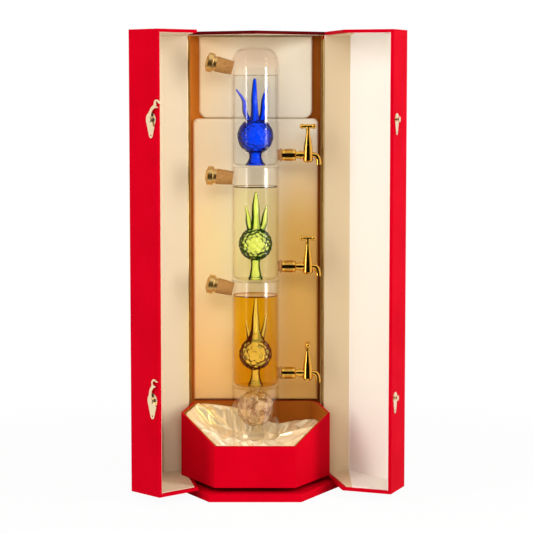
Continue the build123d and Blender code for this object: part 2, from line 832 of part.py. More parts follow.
nodes["foot_bulb"] = bulb + rod((0, 0, bulb_neck_low), UP, bulb_neck_radius, 0, lower_floor_z - bulb_neck_low)


def leaf_loft(rows, root_z, tip_z, ball_radius):
    """A tapering glass leaf through round sections."""
    sections = []
    for x, y, rise, girth in rows:
        place = Pos(x * bore_radius, y * bore_radius, root_z + rise * (tip_z - root_z))
        sections.append(place * Circle(girth * ball_radius))
    return loft(sections)


def ornament(base, foot_radius, stem_radius, stem_height, ball_clear, root_share, tip_z, leaves):
    """A glass agave: foot, round heart and tapering leaves."""
    ball_radius = bore_radius - ball_clear
    ball_z = base + stem_height + ball_radius
    shape = Pos(0, 0, ball_z) * Sphere(ball_radius)
    pad_disc = Pos(0, 0, base) * Cylinder(foot_radius, foot_pad_height, align=LOW)
    stem = taper((0, 0, base), UP, foot_radius, stem_radius, foot_pad_height, stem_height + ball_sink)
    shape = shape + pad_disc + stem
    for rows in leaves:
        shape = shape + leaf_loft(rows, ball_z + root_share * ball_radius, tip_z, ball_radius)
    return shape


upper_level_z = tower_top_z - upper_level_drop
middle_level_z = upper_floor_z - middle_level_drop
lower_level_z = middle_floor_z - lower_level_drop
nodes["blue_agave"] = ornament(
    upper_floor_z + floor_glass, blue_foot_radius, blue_stem_radius, blue_stem_height,
    blue_ball_clear, leaf_root_share, upper_level_z - blue_tip_gap, blue_leaf_shares,
)
nodes["green_agave"] = ornament(
    middle_floor_z + floor_glass, green_foot_radius, green_stem_radius, green_stem_height,
    green_ball_clear, leaf_root_share, middle_level_z - green_tip_gap, green_leaf_shares,
)
nodes["clear_agave"] = ornament(
    lower_floor_z + floor_glass, clear_foot_radius, clear_stem_radius, clear_stem_height,
    clear_ball_clear, pear_root_share, lower_level_z - clear_tip_gap, clear_leaf_shares,
)
nodes["upper_drink"] = cavity(upper_floor_z, upper_level_z, drink_gap, 0) - nodes["blue_agave"]
nodes["middle_drink"] = cavity(middle_floor_z, middle_level_z, drink_gap, 0) - nodes["green_agave"]
nodes["lower_drink"] = cavity(lower_floor_z, lower_level_z, drink_gap, 0) - nodes["clear_agave"]


def stopper(z, tilt):
    """A cork and its cap on a stopper's axis."""
    start, along = port_axis(z, tilt)
    seat = port_neck_out + cork_seat_gap
    top = seat + cork_length
    cork = rod(start, along, port_radius - cork_fit, -glass, seat)
    cork = cork + taper(start, along, port_radius + cork_base_lip, port_radius + cork_top_lip, seat, top)
    collar_top = top + collar_length
    cap_top = collar_top + cap_length
    cap = rod(start, along, cap_radius, collar_top, cap_top)
    cap = fillet(cap.edges().filter_by(GeomType.CIRCLE), cap_round)
    cap = cap + rod(start, along, port_radius + collar_lip, top, collar_top + cap_round)
    cap = cap + taper(start, along, cap_radius - cap_dome, cap_radius / 2, cap_top, cap_top + cap_dome)
    return cork, cap


bung_inner_x = bore_radius + bung_inset
bung_flange_x = tower_radius + bung_flange_gap
bung_end_x = bung_flange_x + bung_flange_thickness
nut_start_x = bung_end_x + nut_gap
nut_end_x = nut_start_x + nut_length
seat_x = nut_end_x + seat_reach


def tap(z, turn):
    """A tap on the right of a chamber: bung, nut, body and turning key."""
    axis_start = (0, 0, z)
    out = (1, 0, 0)
    bung_radius = tap_pipe_radius + bung_wall
    bung = rod(axis_start, out, bung_radius, bung_inner_x, bung_end_x)
    bung = bung + rod(axis_start, out, bung_radius + bung_flange_lip, bung_flange_x, bung_end_x)
    bung = bung - rod(axis_start, out, tap_pipe_radius, 0, nut_end_x)
    nut_radius = tap_pipe_radius + nut_wall
    nut = rod(axis_start, out, nut_radius, nut_start_x, nut_end_x)
    nut = chamfer(nut.edges().filter_by(GeomType.CIRCLE), nut_chamfer)
    for share in nut_groove_shares:
        low = nut_start_x + share * nut_length - nut_groove_width / 2
        groove = rod(axis_start, out, 2 * nut_radius, low, low + nut_groove_width)
        groove = groove - rod(axis_start, out, nut_radius - nut_groove_depth, low, low + nut_groove_width)
        nut = nut - groove
    nut = nut - rod(axis_start, out, tap_pipe_radius, 0, 2 * nut_end_x)
    body = rod(axis_start, out, tap_pipe_radius, bung_inner_x, seat_x)
    body = body + rod(axis_start, out, neck_radius, nut_end_x, seat_x)
    ring_x = nut_end_x + ring_gap
    body = body + rod(axis_start, out, ring_radius, ring_x, ring_x + ring_width)
    seat_base = (seat_x, 0, z)
    body = body + taper(seat_base, UP, seat_bottom_radius, seat_top_radius, -seat_drop, seat_rise)
    tip_low = -seat_drop - seat_tip_drop
    body = body + taper(seat_base, UP, seat_tip_radius, seat_bottom_radius, tip_low, -seat_drop)
    path = Spline(
        (seat_x + spout_root, 0, z),
        (seat_x + spout_bend_reach, 0, z - spout_bend_drop),
        (seat_x + spout_reach, 0, z - spout_drop),
        tangents=[(1, 0, 0), (0, 0, -1)],
    )
    start_plane = Plane(origin=path @ 0, z_dir=path % 0)
    body = body + sweep(start_plane * Circle(spout_radius), path=path)
    tip = (seat_x + spout_reach, 0, z - spout_drop)
    body = body - rod(tip, UP, spout_bore_radius, -spout_bore_depth, spout_bore_depth)
    body = body - rod(seat_base, UP, key_radius + key_fit, -key_drop - key_gap, 2 * seat_rise)
    body = body - rod(axis_start, out, flow_radius, 0, seat_x)
    skirt_z = seat_rise + key_gap
    waist_z = skirt_z + key_waist_rise
    bar_z = waist_z + key_neck_rise
    key = rod(seat_base, UP, key_radius, -key_drop, skirt_z)
    key = key + taper(seat_base, UP, key_skirt_radius, key_waist_radius, skirt_z, waist_z)
    key = key + taper(seat_base, UP, key_waist_radius, key_neck_radius, waist_z, bar_z)
    key = key + rod((seat_x, 0, z + bar_z), out, bar_radius, -bar_half, bar_half)
    for sign in (-1, 1):
        key = key + Pos(seat_x + sign * bar_half, 0, z + bar_z) * Sphere(bar_knob_radius)
    key = key - rod((seat_x, 0, z), (0, 1, 0), flow_radius, -seat_bottom_radius, seat_bottom_radius)
    key = Pos(seat_x, 0, 0) * Rot(0, 0, turn) * Pos(-seat_x, 0, 0) * key
    return bung, nut, body, key


levels = (
    ("upper", upper_stopper_z, upper_stopper_tilt, upper_tap_z, 0),
    ("middle", middle_stopper_z, middle_stopper_tilt, middle_tap_z, 0),
    ("lower", lower_stopper_z, lower_stopper_tilt, lower_tap_z, 90),
)
for level, stopper_z, tilt, tap_z, turn in levels:
    cork, cap = stopper(stopper_z, tilt)
    nodes[level + "_cork"] = cork
    nodes[level + "_stopper_cap"] = cap
    bung, nut, body, key = tap(tap_z, turn)
    nodes[level + "_tap_bung"] = bung
    nodes[level + "_tap_nut"] = nut
    nodes[level + "_tap_body"] = body
    nodes[level + "_tap_key"] = key

for name, shape in nodes.items():
    export_step(shape, "parts/" + name + ".step")
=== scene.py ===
import math

import bmesh
import bpy
import numpy as np
from mathutils import Matrix, Vector, noise


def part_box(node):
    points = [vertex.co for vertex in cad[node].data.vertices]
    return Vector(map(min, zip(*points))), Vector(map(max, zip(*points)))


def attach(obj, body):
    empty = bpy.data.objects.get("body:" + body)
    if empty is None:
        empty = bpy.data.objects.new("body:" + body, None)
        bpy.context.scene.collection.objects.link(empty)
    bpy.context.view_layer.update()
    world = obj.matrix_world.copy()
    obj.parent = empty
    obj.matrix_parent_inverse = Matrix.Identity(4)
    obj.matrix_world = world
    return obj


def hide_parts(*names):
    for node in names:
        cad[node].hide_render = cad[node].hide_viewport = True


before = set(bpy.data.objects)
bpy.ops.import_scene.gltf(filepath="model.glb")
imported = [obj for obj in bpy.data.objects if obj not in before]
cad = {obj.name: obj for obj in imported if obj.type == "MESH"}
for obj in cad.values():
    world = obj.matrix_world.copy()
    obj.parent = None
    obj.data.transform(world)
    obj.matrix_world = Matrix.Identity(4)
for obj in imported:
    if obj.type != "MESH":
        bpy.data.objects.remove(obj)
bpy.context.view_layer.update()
MM = 0.001
CASE = "case_and_tower"
LEVELS = ("upper", "middle", "lower")

# Camera, fitted to the photograph's square frame
IMAGE_PIXELS = 533
FOCAL_PIXELS = 1917
HORIZON_ROW = 87
CAMERA_PLACE = (0.0169, -2.923, 0.616)
SENSOR_MM = 36.0


def node_corner(name, end):
    """The low (0) or high (1) corner of a CAD node's box, to a hundredth of a millimetre."""
    return [round(part, 5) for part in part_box(name)[end]]


# Case sizes that the looks follow
HINGE_X, BACK_OUTER_Y = node_corner("back_shell", 1)[:2]
BACK_WALL = 5 * MM
TRAY_FRONT_Y = node_corner("tray", 0)[1]
TRAY_REAR_Y, TRAY_RIM_REAR = node_corner("tray", 1)[1:]
TRAY_FRONT = (60.6 * MM, TRAY_FRONT_Y)
TRAY_SIDE = (114.6 * MM, -1.9 * MM)
TRAY_REAR = (89.1 * MM, TRAY_REAR_Y)
TRAY_WALL = 4 * MM
RIGHT_DOOR_FOLD_X = 145.5 * MM

# Tower sizes that the looks follow
TOWER_RADIUS = node_corner("lower_chamber", 1)[0]
GLASS = 2 * MM
BORE_RADIUS = TOWER_RADIUS - GLASS


class Value:
    """A value in a node tree; arithmetic on it adds Math nodes there."""

    def __init__(self, nodes, socket):
        self.nodes = nodes
        self.socket = socket

    def math(self, operation, first, second):
        return self.nodes.add("ShaderNodeMath", {"operation": operation}, {0: first, 1: second})

    def __add__(self, other):
        return self.math("ADD", self, other)

    def __radd__(self, other):
        return self.math("ADD", other, self)

    def __sub__(self, other):
        return self.math("SUBTRACT", self, other)

    def __rsub__(self, other):
        return self.math("SUBTRACT", other, self)

    def __mul__(self, other):
        return self.math("MULTIPLY", self, other)

    def __rmul__(self, other):
        return self.math("MULTIPLY", other, self)

    def __pow__(self, other):
        return self.math("POWER", self, other)

    def __lt__(self, other):
        return self.math("LESS_THAN", self, other)

    def __gt__(self, other):
        return self.math("GREATER_THAN", self, other)

    def __abs__(self):
        return self.math("ABSOLUTE", self, 0.0)

    def least(self, other):
        return self.math("MINIMUM", self, other)

    def most(self, other):
        return self.math("MAXIMUM", self, other)

    def span(self, low, high, start=0.0, end=1.0):
        """The value mapped from one range to another, smoothly and clamped."""
        return self.nodes.add(
            "ShaderNodeMapRange",
            {"interpolation_type": "SMOOTHSTEP"},
            {"Value": self, "From Min": low, "From Max": high, "To Min": start, "To Max": end},
        )


class Nodes:
    """A node tree and the ways to add to it."""

    def __init__(self, tree):
        self.tree = tree
        tree.nodes.clear()

    def add(self, kind, settings=None, values=None, output=0):
        """Adds a node and gives one of its outputs."""
        made = self.tree.nodes.new(kind)
        for key, setting in (settings or {}).items():
            setattr(made, key, setting)
        for key, value in (values or {}).items():
            if isinstance(value, Value):
                self.tree.links.new(value.socket, made.inputs[key])
            else:
                made.inputs[key].default_value = value
        return Value(self, made.outputs[output])

    def end(self, kind, result, socket="Surface"):
        """Links the tree's result to its output node."""
        output = self.tree.nodes.new(kind)
        self.tree.links.new(result.socket, output.inputs[socket])

    def ray(self, kind):
        """One for rays of a kind, and zero for others."""
        return self.add("ShaderNodeLightPath", output=kind)

    def seen(self):
        """One for rays from the camera and from shiny or clear surfaces."""
        shiny = self.ray("Is Glossy Ray").most(self.ray("Is Transmission Ray"))
        return self.ray("Is Camera Ray").most(shiny)

    def both(self, share, first, second):
        """A Mix Shader of two shaders."""
        return self.add("ShaderNodeMixShader", values={0: share, 1: first, 2: second})


class Finish(Nodes):
    """One material and the nodes that make it."""

    def __init__(self, name):
        self.material = bpy.data.materials.new(name)
        self.material.use_nodes = True
        super().__init__(self.material.node_tree)

    def place(self):
        return self.add("ShaderNodeTexCoord", output="Object")

    def axes(self):
        """The three parts of a point's place on the piece."""
        split = self.add("ShaderNodeSeparateXYZ", values={"Vector": self.place()})
        return [Value(self, out) for out in split.socket.node.outputs]

    def stretched(self, scale):
        return self.add("ShaderNodeMapping", values={"Vector": self.place(), "Scale": scale})

    def noise(self, scale, detail=3.0, rough=0.5, vector=None):
        values = {"Vector": vector or self.place(), "Scale": scale, "Detail": detail, "Roughness": rough}
        return self.add("ShaderNodeTexNoise", values=values, output="Fac")

    def cells(self, scale, feature="F1"):
        values = {"Vector": self.place(), "Scale": scale}
        return self.add("ShaderNodeTexVoronoi", {"feature": feature}, values, "Distance")

    def blend(self, share, first, second):
        """A colour between two colours."""
        values = {0: share, 6: first, 7: second}
        return self.add("ShaderNodeMix", {"data_type": "RGBA"}, values, 2)

    def bump(self, height, strength, distance):
        values = {"Height": height, "Strength": strength, "Distance": distance}
        return self.add("ShaderNodeBump", values=values)

    def facing(self):
        """Zero where a surface faces the viewer, one along its outline."""
        return self.add("ShaderNodeLayerWeight", values={"Blend": 0.5}, output="Facing")

    def principled(self, **values):
        values = {key.replace("_", " "): value for key, value in values.items()}
        return self.add("ShaderNodeBsdfPrincipled", values=values)

    def see_through(self, tint):
        return self.add("ShaderNodeBsdfTransparent", values={"Color": rgba(tint)})

    def mirror(self, colour, rough):
        return self.add("ShaderNodeBsdfGlossy", values={"Color": rgba(colour), "Roughness": rough})

    def done(self, shader):
        self.end("ShaderNodeOutputMaterial", shader)
        return self.material


def rgba(colour):
    return (*colour, 1.0)


# Colours
WHITE = (1.0, 1.0, 1.0)
RED = (0.57, 0.0004, 0.012)
RED_DEEP = (0.47, 0.0002, 0.008)
RED_GLOSS = (1.0, 0.02, 0.10)
CREAM = (0.74, 0.64, 0.48)
CREAM_WARM = (0.70, 0.57, 0.40)
# Painted light: a paler cream for the right door's lining right of the fold, where more light falls
CREAM_PAINTED_LIGHT = (0.93, 0.90, 0.85)
CREAM_PAINTED_LIGHT_DEEP = (0.91, 0.87, 0.79)
# Painted shade: a tan cream for the right door's lining left of the fold, which lies in more shade
CREAM_PAINTED_SHADE = (0.75, 0.61, 0.40)
CREAM_PAINTED_SHADE_DEEP = (0.70, 0.54, 0.33)
GOLDEN_CREAM = (0.93, 0.77, 0.52)
GOLDEN_SHADE = (0.87, 0.66, 0.38)
# Painted light on the pads: a paler cream where more light falls, high on the right and behind the tower
PAD_PAINTED_LIGHT = (1.0, 0.94, 0.78)
PAD_PAINTED_LIGHT_DEEP = (0.98, 0.87, 0.66)
# Painted amber shade on the pads: deep golden where shade and light through the amber drink fall
PAD_PAINTED_AMBER_SHADE = (0.84, 0.52, 0.14)
PAD_PAINTED_AMBER_SHADE_DEEP = (0.76, 0.43, 0.09)
# Painted shade: dark bronze in place of the cream lining on the back shell's and the tray's inner faces
LINING_PAINTED_SHADE = (0.40, 0.115, 0.014)
LINING_PAINTED_SHADE_DEEP = (0.25, 0.065, 0.007)
# Painted shade with painted light: a lighter bronze for the back shell's left inner strip, where more light
# falls
LINING_PAINTED_SOFT_SHADE = (0.74, 0.27, 0.035)
LINING_PAINTED_SOFT_SHADE_DEEP = (0.55, 0.18, 0.02)
# Painted shade: a dark maroon on the top cap's front faces
CAP_FRONT_PAINTED_SHADE = (0.14, 0.004, 0.006)
CAP_FRONT_PAINTED_SHADE_DEEP = (0.07, 0.002, 0.003)
SATIN = (1.0, 0.90, 0.67)
SATIN_SHADE = (0.95, 0.74, 0.43)
CORK = (0.58, 0.30, 0.085)
CORK_SHADE = (0.32, 0.14, 0.03)
RUBBER = (0.50, 0.24, 0.07)
RUBBER_SHADE = (0.34, 0.14, 0.035)
GLASS_CLEAR = (0.995, 0.995, 0.995)
GLASS_RIM = (0.30, 0.24, 0.19)
# Painted shade in the upper glass's dome, for the dark cap seen through it
GLASS_DOME_PAINTED_SHADE = (0.965, 0.945, 0.935)
BULB_CLEAR = (1.0, 0.95, 0.84)
BULB_LINES = (0.42, 0.26, 0.12)
BULB_MILK = (0.95, 0.66, 0.34)
BULB_GLINT = (1.0, 0.98, 0.94)

# Depth of each material's grain
LEATHER_GRAIN = 0.3 * MM
PAPER_GRAIN = 0.2 * MM
CLOTH_GRAIN = 0.2 * MM
SATIN_GRAIN = 0.1 * MM
METAL_GRAIN = 0.1 * MM
CORK_GRAIN = 0.4 * MM
RUBBER_GRAIN = 0.2 * MM

# Where covers change: cream paper at the cap's underside, and painted shade on its front faces and past a
# share of the tray's wall
CAP_UNDERSIDE = 0.4 * MM
FRONT_NORMAL = -0.3
INNER_FACE = 0.6

# Where painted light and painted amber shade lie on the pads' cloth, across in X and up in Z
PAD_LIT_X = (-30 * MM, 60 * MM)
PAD_LIT_Z = (480 * MM, 570 * MM)
PAD_MIDDLE_LIT_X = (15 * MM, 75 * MM)
PAD_MIDDLE_LIT_Z = (180 * MM, 260 * MM)
PAD_AMBER_SHADE_X = (0.0, 60 * MM)
PAD_AMBER_SHADE_Z = (380 * MM, 540 * MM)
PAD_BOTTOM_SHADE_Z = (130 * MM, 280 * MM)

# Glass and drinks: what a clear face mirrors head-on, and the sizes of glints, dome shade and drinks' rims
BARE_MIRROR = 0.004
GLINT_FADE = 1 * MM
UPPER_GLINT_DEPTH = 70 * MM
UPPER_GLINT_RISE = 12 * MM
SOFT_GLINT = 0.13
SOFT_GLINT_ROUGHNESS = 0.22
DOME_FADE = 30 * MM
DRINK_RIM_WIDTH = 2.4 * MM
DRINK_RIM_DEPTH = 0.6 * MM


def leatherette_parts(finish):
    """Colour, roughness and grain of the pressed red leatherette."""
    pebbles = finish.cells(1250)
    patches = finish.noise(14, 2)
    fine = finish.noise(1900, 4)
    colour = finish.blend(patches.span(0.3, 0.75) * 0.55 + fine * 0.2, rgba(RED), rgba(RED_DEEP))
    rough = 0.40 + patches * 0.12 + pebbles * 0.10
    height = pebbles * 0.7 + fine * 0.3
    return colour, rough, height


def lining_parts(finish, light, dark):
    """Colour, roughness and grain of the lining paper."""
    fibres = finish.noise(900, 4, 0.6, finish.stretched((1.0, 1.0, 0.12)))
    clouds = finish.noise(9, 2)
    colour = finish.blend(clouds * 0.6 + fibres * 0.25, rgba(light), rgba(dark))
    rough = 0.42 + fibres * 0.16
    return colour, rough, fibres


def relined(finish, parts, mask, light, dark):
    """Lining paper in place of leatherette where a mask is one."""
    paper = lining_parts(finish, light, dark)
    colour = finish.blend(mask, parts[0], paper[0])
    rough = parts[1] * (1 - mask) + paper[1] * mask
    height = parts[2] * (1 - mask) + paper[2] * mask * 0.4
    return colour, rough, height


def leatherette(name, changed=None):
    """Red leatherette; a change gives some of its faces another cover."""
    finish = Finish(name)
    parts = leatherette_parts(finish)
    if changed:
        parts = changed(finish, parts)
    colour, rough, height = parts
    shader = finish.principled(
        Base_Color=colour, Roughness=rough, Normal=finish.bump(height, 0.22, LEATHER_GRAIN),
        Specular_IOR_Level=0.008, Specular_Tint=rgba(RED_GLOSS),
    )
    return finish.done(shader)


def lining_paper(name, light, dark, lit_from_x=None):
    """Lining paper; given a place, the panels right of it get painted light, a paler cream."""
    finish = Finish(name)
    colour, rough, height = lining_parts(finish, light, dark)
    if lit_from_x is not None:
        pale = lining_parts(finish, CREAM_PAINTED_LIGHT, CREAM_PAINTED_LIGHT_DEEP)[0]
        x = finish.axes()[0]
        colour = finish.blend(x > lit_from_x, colour, pale)
    shader = finish.principled(
        Base_Color=colour, Roughness=rough, Normal=finish.bump(height, 0.10, PAPER_GRAIN),
        Specular_IOR_Level=0.25,
    )
    return finish.done(shader)


def back_painted_shade(finish, parts):
    """Painted shade on the back shell's inner faces: a dark bronze in place of the cream lining, brighter on
    the left as painted light.
    """
    x, y = finish.axes()[:2]
    cheek = HINGE_X - BACK_WALL / 2
    inner = (abs(x) < cheek) * (y < BACK_OUTER_Y - BACK_WALL / 2)
    parts = relined(finish, parts, inner * (x < 0.0), LINING_PAINTED_SOFT_SHADE, LINING_PAINTED_SOFT_SHADE_DEEP)
    return relined(finish, parts, inner * (x > 0.0), LINING_PAINTED_SHADE, LINING_PAINTED_SHADE_DEEP)


def tray_painted_shade(finish, parts):
    """Painted shade on the inner faces of the tray's walls and floor: a dark bronze in place of the cream
    lining.
    """
    x, y = finish.axes()[:2]
    side = abs(x)
    skin = TRAY_WALL * INNER_FACE
    mask = (y - TRAY_FRONT[1] > skin) * (TRAY_REAR[1] - y > skin)
    for start, end in ((TRAY_FRONT, TRAY_SIDE), (TRAY_SIDE, TRAY_REAR)):
        along = (Vector(end) - Vector(start)).normalized()
        inward = (side - start[0]) * (-along[1]) + (y - start[1]) * along[0]
        mask = mask * (inward > skin)
    return relined(finish, parts, mask, LINING_PAINTED_SHADE, LINING_PAINTED_SHADE_DEEP)


def cap_painted_shade(finish, parts):
    """Painted shade on the top cap's front faces, a dark maroon, and cream paper under the cap."""
    low_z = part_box("top_cap")[0].z
    z = finish.axes()[2]
    normal = finish.add("ShaderNodeNewGeometry", output="True Normal")
    front = finish.add("ShaderNodeSeparateXYZ", values={"Vector": normal}, output="Y") < FRONT_NORMAL
    colour, rough, height = parts
    front_shade = finish.blend(height, rgba(CAP_FRONT_PAINTED_SHADE), rgba(CAP_FRONT_PAINTED_SHADE_DEEP))
    colour = finish.blend(front, colour, front_shade)
    return relined(finish, (colour, rough, height), z < low_z + CAP_UNDERSIDE, CREAM, CREAM_WARM)


def pad_cloth():
    """Cloth of the pads, with painted light that makes it pale in the middle and high on the right, and
    painted amber shade that makes it deep golden low on the right and at the bottom.
    """
    finish = Finish("golden_pad_cloth")
    x, _, z = finish.axes()
    warp = finish.noise(1500, 2, 0.5, finish.stretched((1.0, 1.0, 0.06)))
    weft = finish.noise(1500, 2, 0.5, finish.stretched((0.06, 1.0, 1.0)))
    clouds = finish.noise(11, 3)
    tone = clouds * 0.7 + warp * 0.2
    pale = finish.blend(tone, rgba(GOLDEN_CREAM), rgba(GOLDEN_SHADE))
    lit_cream = finish.blend(tone, rgba(PAD_PAINTED_LIGHT), rgba(PAD_PAINTED_LIGHT_DEEP))
    # Painted light high on the right and behind the tower; painted amber shade low on the right and at the
    # bottom
    lit_high_right = x.span(*PAD_LIT_X) * z.span(*PAD_LIT_Z)
    middle = abs(x).span(*PAD_MIDDLE_LIT_X, 0.8, 0.0) * z.span(*PAD_MIDDLE_LIT_Z)
    pale = finish.blend(lit_high_right.most(middle), pale, lit_cream)
    golden = finish.blend(tone, rgba(PAD_PAINTED_AMBER_SHADE), rgba(PAD_PAINTED_AMBER_SHADE_DEEP))
    right = x.span(*PAD_AMBER_SHADE_X) * z.span(*PAD_AMBER_SHADE_Z, 1.0, 0.0)
    bottom = z.span(*PAD_BOTTOM_SHADE_Z, 0.55, 0.0)
    colour = finish.blend(right.most(bottom), pale, golden)
    height = warp * 0.6 + weft * 0.4
    shader = finish.principled(
        Base_Color=colour, Roughness=0.36 + warp * 0.12, Normal=finish.bump(height, 0.12, CLOTH_GRAIN),
        Specular_IOR_Level=0.5, Sheen_Weight=0.25, Sheen_Roughness=0.35,
    )
    return finish.done(shader)


def satin_cloth():
    finish = Finish("cream_satin")
    threads = finish.noise(2600, 2, 0.5, finish.stretched((1.0, 0.08, 1.0)))
    clouds = finish.noise(24, 3)
    colour = finish.blend(clouds * 0.5 + threads * 0.2, rgba(SATIN), rgba(SATIN_SHADE))
    shader = finish.principled(
        Base_Color=colour, Roughness=0.19 + threads * 0.08, Normal=finish.bump(threads, 0.06, SATIN_GRAIN),
        Metallic=0.42, Specular_IOR_Level=0.8, Sheen_Weight=0.2, Sheen_Roughness=0.3,
    )
    return finish.done(shader)


def mirror_share(finish, bare):
    """The share of light that a clear face mirrors: more along its outline, none of a lamp's rays."""
    lamp_ray = finish.ray("Is Shadow Ray")
    return (bare + (1 - bare) * finish.facing() ** 5.0) * (1 - lamp_ray)


def clear_glass(name, glint_low=None, glint_high=None, glint=0.10, rough=0.03, dome_z=None):
    """Clear blown glass; its inner face mirrors most at the front, between heights if they are given."""
    finish = Finish(name)
    x, y, z = finish.axes()
    mirrors = (x * x + y * y < (BORE_RADIUS + GLASS / 2) ** 2) * (y < 0.0)
    if glint_low is not None:
        mirrors = mirrors * z.span(glint_low - GLINT_FADE, glint_low + GLINT_FADE)
    if glint_high is not None:
        mirrors = mirrors * z.span(glint_high - GLINT_FADE, glint_high + GLINT_FADE, 1.0, 0.0)
    bare = BARE_MIRROR + mirrors * glint
    streaks = finish.noise(30, 2, 0.5, finish.stretched((1.0, 1.0, 0.1)))
    outline = finish.facing() ** 8.0 * (0.7 + streaks * 0.3)
    through = finish.both(outline, finish.see_through(GLASS_CLEAR), finish.see_through(GLASS_RIM))
    # Painted shade: the dome's glass is tinted darker toward the top, for the dark cap seen through it
    if dome_z is not None:
        dome = z.span(dome_z, dome_z + DOME_FADE) * (0.8 + streaks * 0.4)
        through = finish.both(dome.least(1.0), through, finish.see_through(GLASS_DOME_PAINTED_SHADE))
    return finish.done(finish.both(mirror_share(finish, bare), through, finish.mirror(WHITE, rough)))


def drink(name, level_z, front_tint, back_tint, rim_tint, line_tint):
    """A clear drink that colours what stands behind it, darker along its outline and its raised rim."""
    finish = Finish(name)
    x, y, z = finish.axes()
    behind = y.span(-BORE_RADIUS * 0.3, BORE_RADIUS * 0.3)
    clear = finish.both(behind, finish.see_through(front_tint), finish.see_through(back_tint))
    clouds = finish.noise(35, 2)
    outline = finish.facing() ** 7.0 * (0.8 + clouds * 0.2)
    through = finish.both(outline, clear, finish.see_through(rim_tint))
    raised = (x * x + y * y > (BORE_RADIUS - DRINK_RIM_WIDTH) ** 2) * (z > level_z - DRINK_RIM_DEPTH)
    line = raised * y.span(-BORE_RADIUS * 0.4, 0.0, 1.0, 0.35)
    through = finish.both(line, through, finish.see_through(line_tint))
    return finish.done(finish.both(mirror_share(finish, BARE_MIRROR), through, finish.mirror(WHITE, 0.02)))


def ornament_glass(name, heart, rim, shadow, refraction, clearness, dark_from, dark_to):
    """Coloured solid glass, with a deeper colour along its outline and between its knobs."""
    finish = Finish(name)
    swirl = finish.noise(70, 3)
    bright = finish.principled(
        Base_Color=rgba(heart), Roughness=0.03, IOR=refraction, Transmission_Weight=clearness,
        Specular_IOR_Level=0.4,
    )
    deep = finish.principled(Base_Color=rgba(rim), Roughness=0.04, IOR=refraction, Specular_IOR_Level=0.4)
    share = (finish.facing() + (swirl - 0.5) * 0.3).span(dark_from, dark_to)
    glass = finish.both(share, bright, deep)
    return finish.done(finish.both(finish.ray("Is Shadow Ray"), glass, finish.see_through(shadow)))


def bulb_crystal():
    """Clear knobbed glass with tawny lines round its knobs, milky swirls and bright glints."""
    finish = Finish("bulb_crystal")
    swirl = finish.noise(75, 3)
    milk = finish.principled(Base_Color=rgba(BULB_MILK), Roughness=0.2, Specular_IOR_Level=0.2)
    outline = (finish.facing() + (swirl - 0.5) * 0.5).span(0.30, 0.80)
    through = finish.both(outline, finish.see_through(BULB_CLEAR), finish.see_through(BULB_LINES))
    through = finish.both(swirl.span(0.42, 0.62, 0.05, 0.5), through, milk)
    return finish.done(finish.both(mirror_share(finish, 0.05), through, finish.mirror(BULB_GLINT, 0.02)))


def polished_gold(name, colour, shade, rough):
    finish = Finish(name)
    smears = finish.noise(90, 3)
    fine = finish.noise(1400, 2)
    tone = finish.blend(smears * 0.6, rgba(colour), rgba(shade))
    shader = finish.principled(
        Base_Color=tone, Metallic=1.0, Roughness=rough + smears * 0.08 + fine * 0.03,
        Normal=finish.bump(fine, 0.04, METAL_GRAIN),
    )
    return finish.done(shader)


def ground_cork():
    finish = Finish("ground_cork")
    grains = finish.cells(420)
    pits = finish.cells(260, "DISTANCE_TO_EDGE")
    tone = finish.noise(150, 4)
    colour = finish.blend(grains * 0.8 + tone * 0.4, rgba(CORK), rgba(CORK_SHADE))
    height = grains * 0.5 + pits.span(0.0, 0.15)
    shader = finish.principled(
        Base_Color=colour, Roughness=0.62 + tone * 0.2, Normal=finish.bump(height, 0.35, CORK_GRAIN)
    )
    return finish.done(shader)


def bung_rubber():
    finish = Finish("amber_rubber")
    dust = finish.noise(300, 4)
    colour = finish.blend(dust, rgba(RUBBER), rgba(RUBBER_SHADE))
    shader = finish.principled(
        Base_Color=colour, Roughness=0.45 + dust * 0.25, Normal=finish.bump(dust, 0.1, RUBBER_GRAIN)
    )
    return finish.done(shader)


red_case = leatherette("red_leatherette")
red_back = leatherette("red_leatherette_painted_shade_back", back_painted_shade)
red_tray = leatherette("red_leatherette_painted_shade_tray", tray_painted_shade)
red_cap = leatherette("red_leatherette_cap_painted_shade", cap_painted_shade)
cream = lining_paper("cream_lining_paper", CREAM, CREAM_WARM)
# The right door's lining: painted shade, a tan cream, left of the fold, and painted light, a paler cream,
# right of it
shaded_and_lit = lining_paper("tan_and_pale_lining_paper", CREAM_PAINTED_SHADE, CREAM_PAINTED_SHADE_DEEP, RIGHT_DOOR_FOLD_X)
pad_finish = pad_cloth()
satin_finish = satin_cloth()
gold = polished_gold("polished_gold", (0.90, 0.54, 0.10), (0.70, 0.36, 0.05), 0.10)
cap_bronze = polished_gold("brushed_cap_bronze", (0.82, 0.54, 0.20), (0.54, 0.30, 0.08), 0.30)
latch_gold = polished_gold("pale_latch_gold", (0.92, 0.76, 0.50), (0.74, 0.54, 0.30), 0.22)
hinge_brass = polished_gold("hinge_brass", (0.70, 0.50, 0.22), (0.48, 0.32, 0.12), 0.32)
cork_finish = ground_cork()
bung_finish = bung_rubber()


# Mesh helpers; points closer than the weld become one
WELD = 0.001 * MM


def placed(name, data):
    """A new object in the scene."""
    made = bpy.data.objects.new(name, data)
    bpy.context.scene.collection.objects.link(made)
    return made


def loose_mesh(name, part):
    """An object made of points and faces, without a finish."""
    mesh = bpy.data.meshes.new(name)
    mesh.from_pydata([tuple(p) for p in part[0]], [], part[1])
    return placed(name, mesh)


def taken(made):
    """The object with its modifiers applied to its mesh."""
    seen = made.evaluated_get(bpy.context.evaluated_depsgraph_get())
    mesh = bpy.data.meshes.new_from_object(seen)
    made.modifiers.clear()
    made.data = mesh
    return made


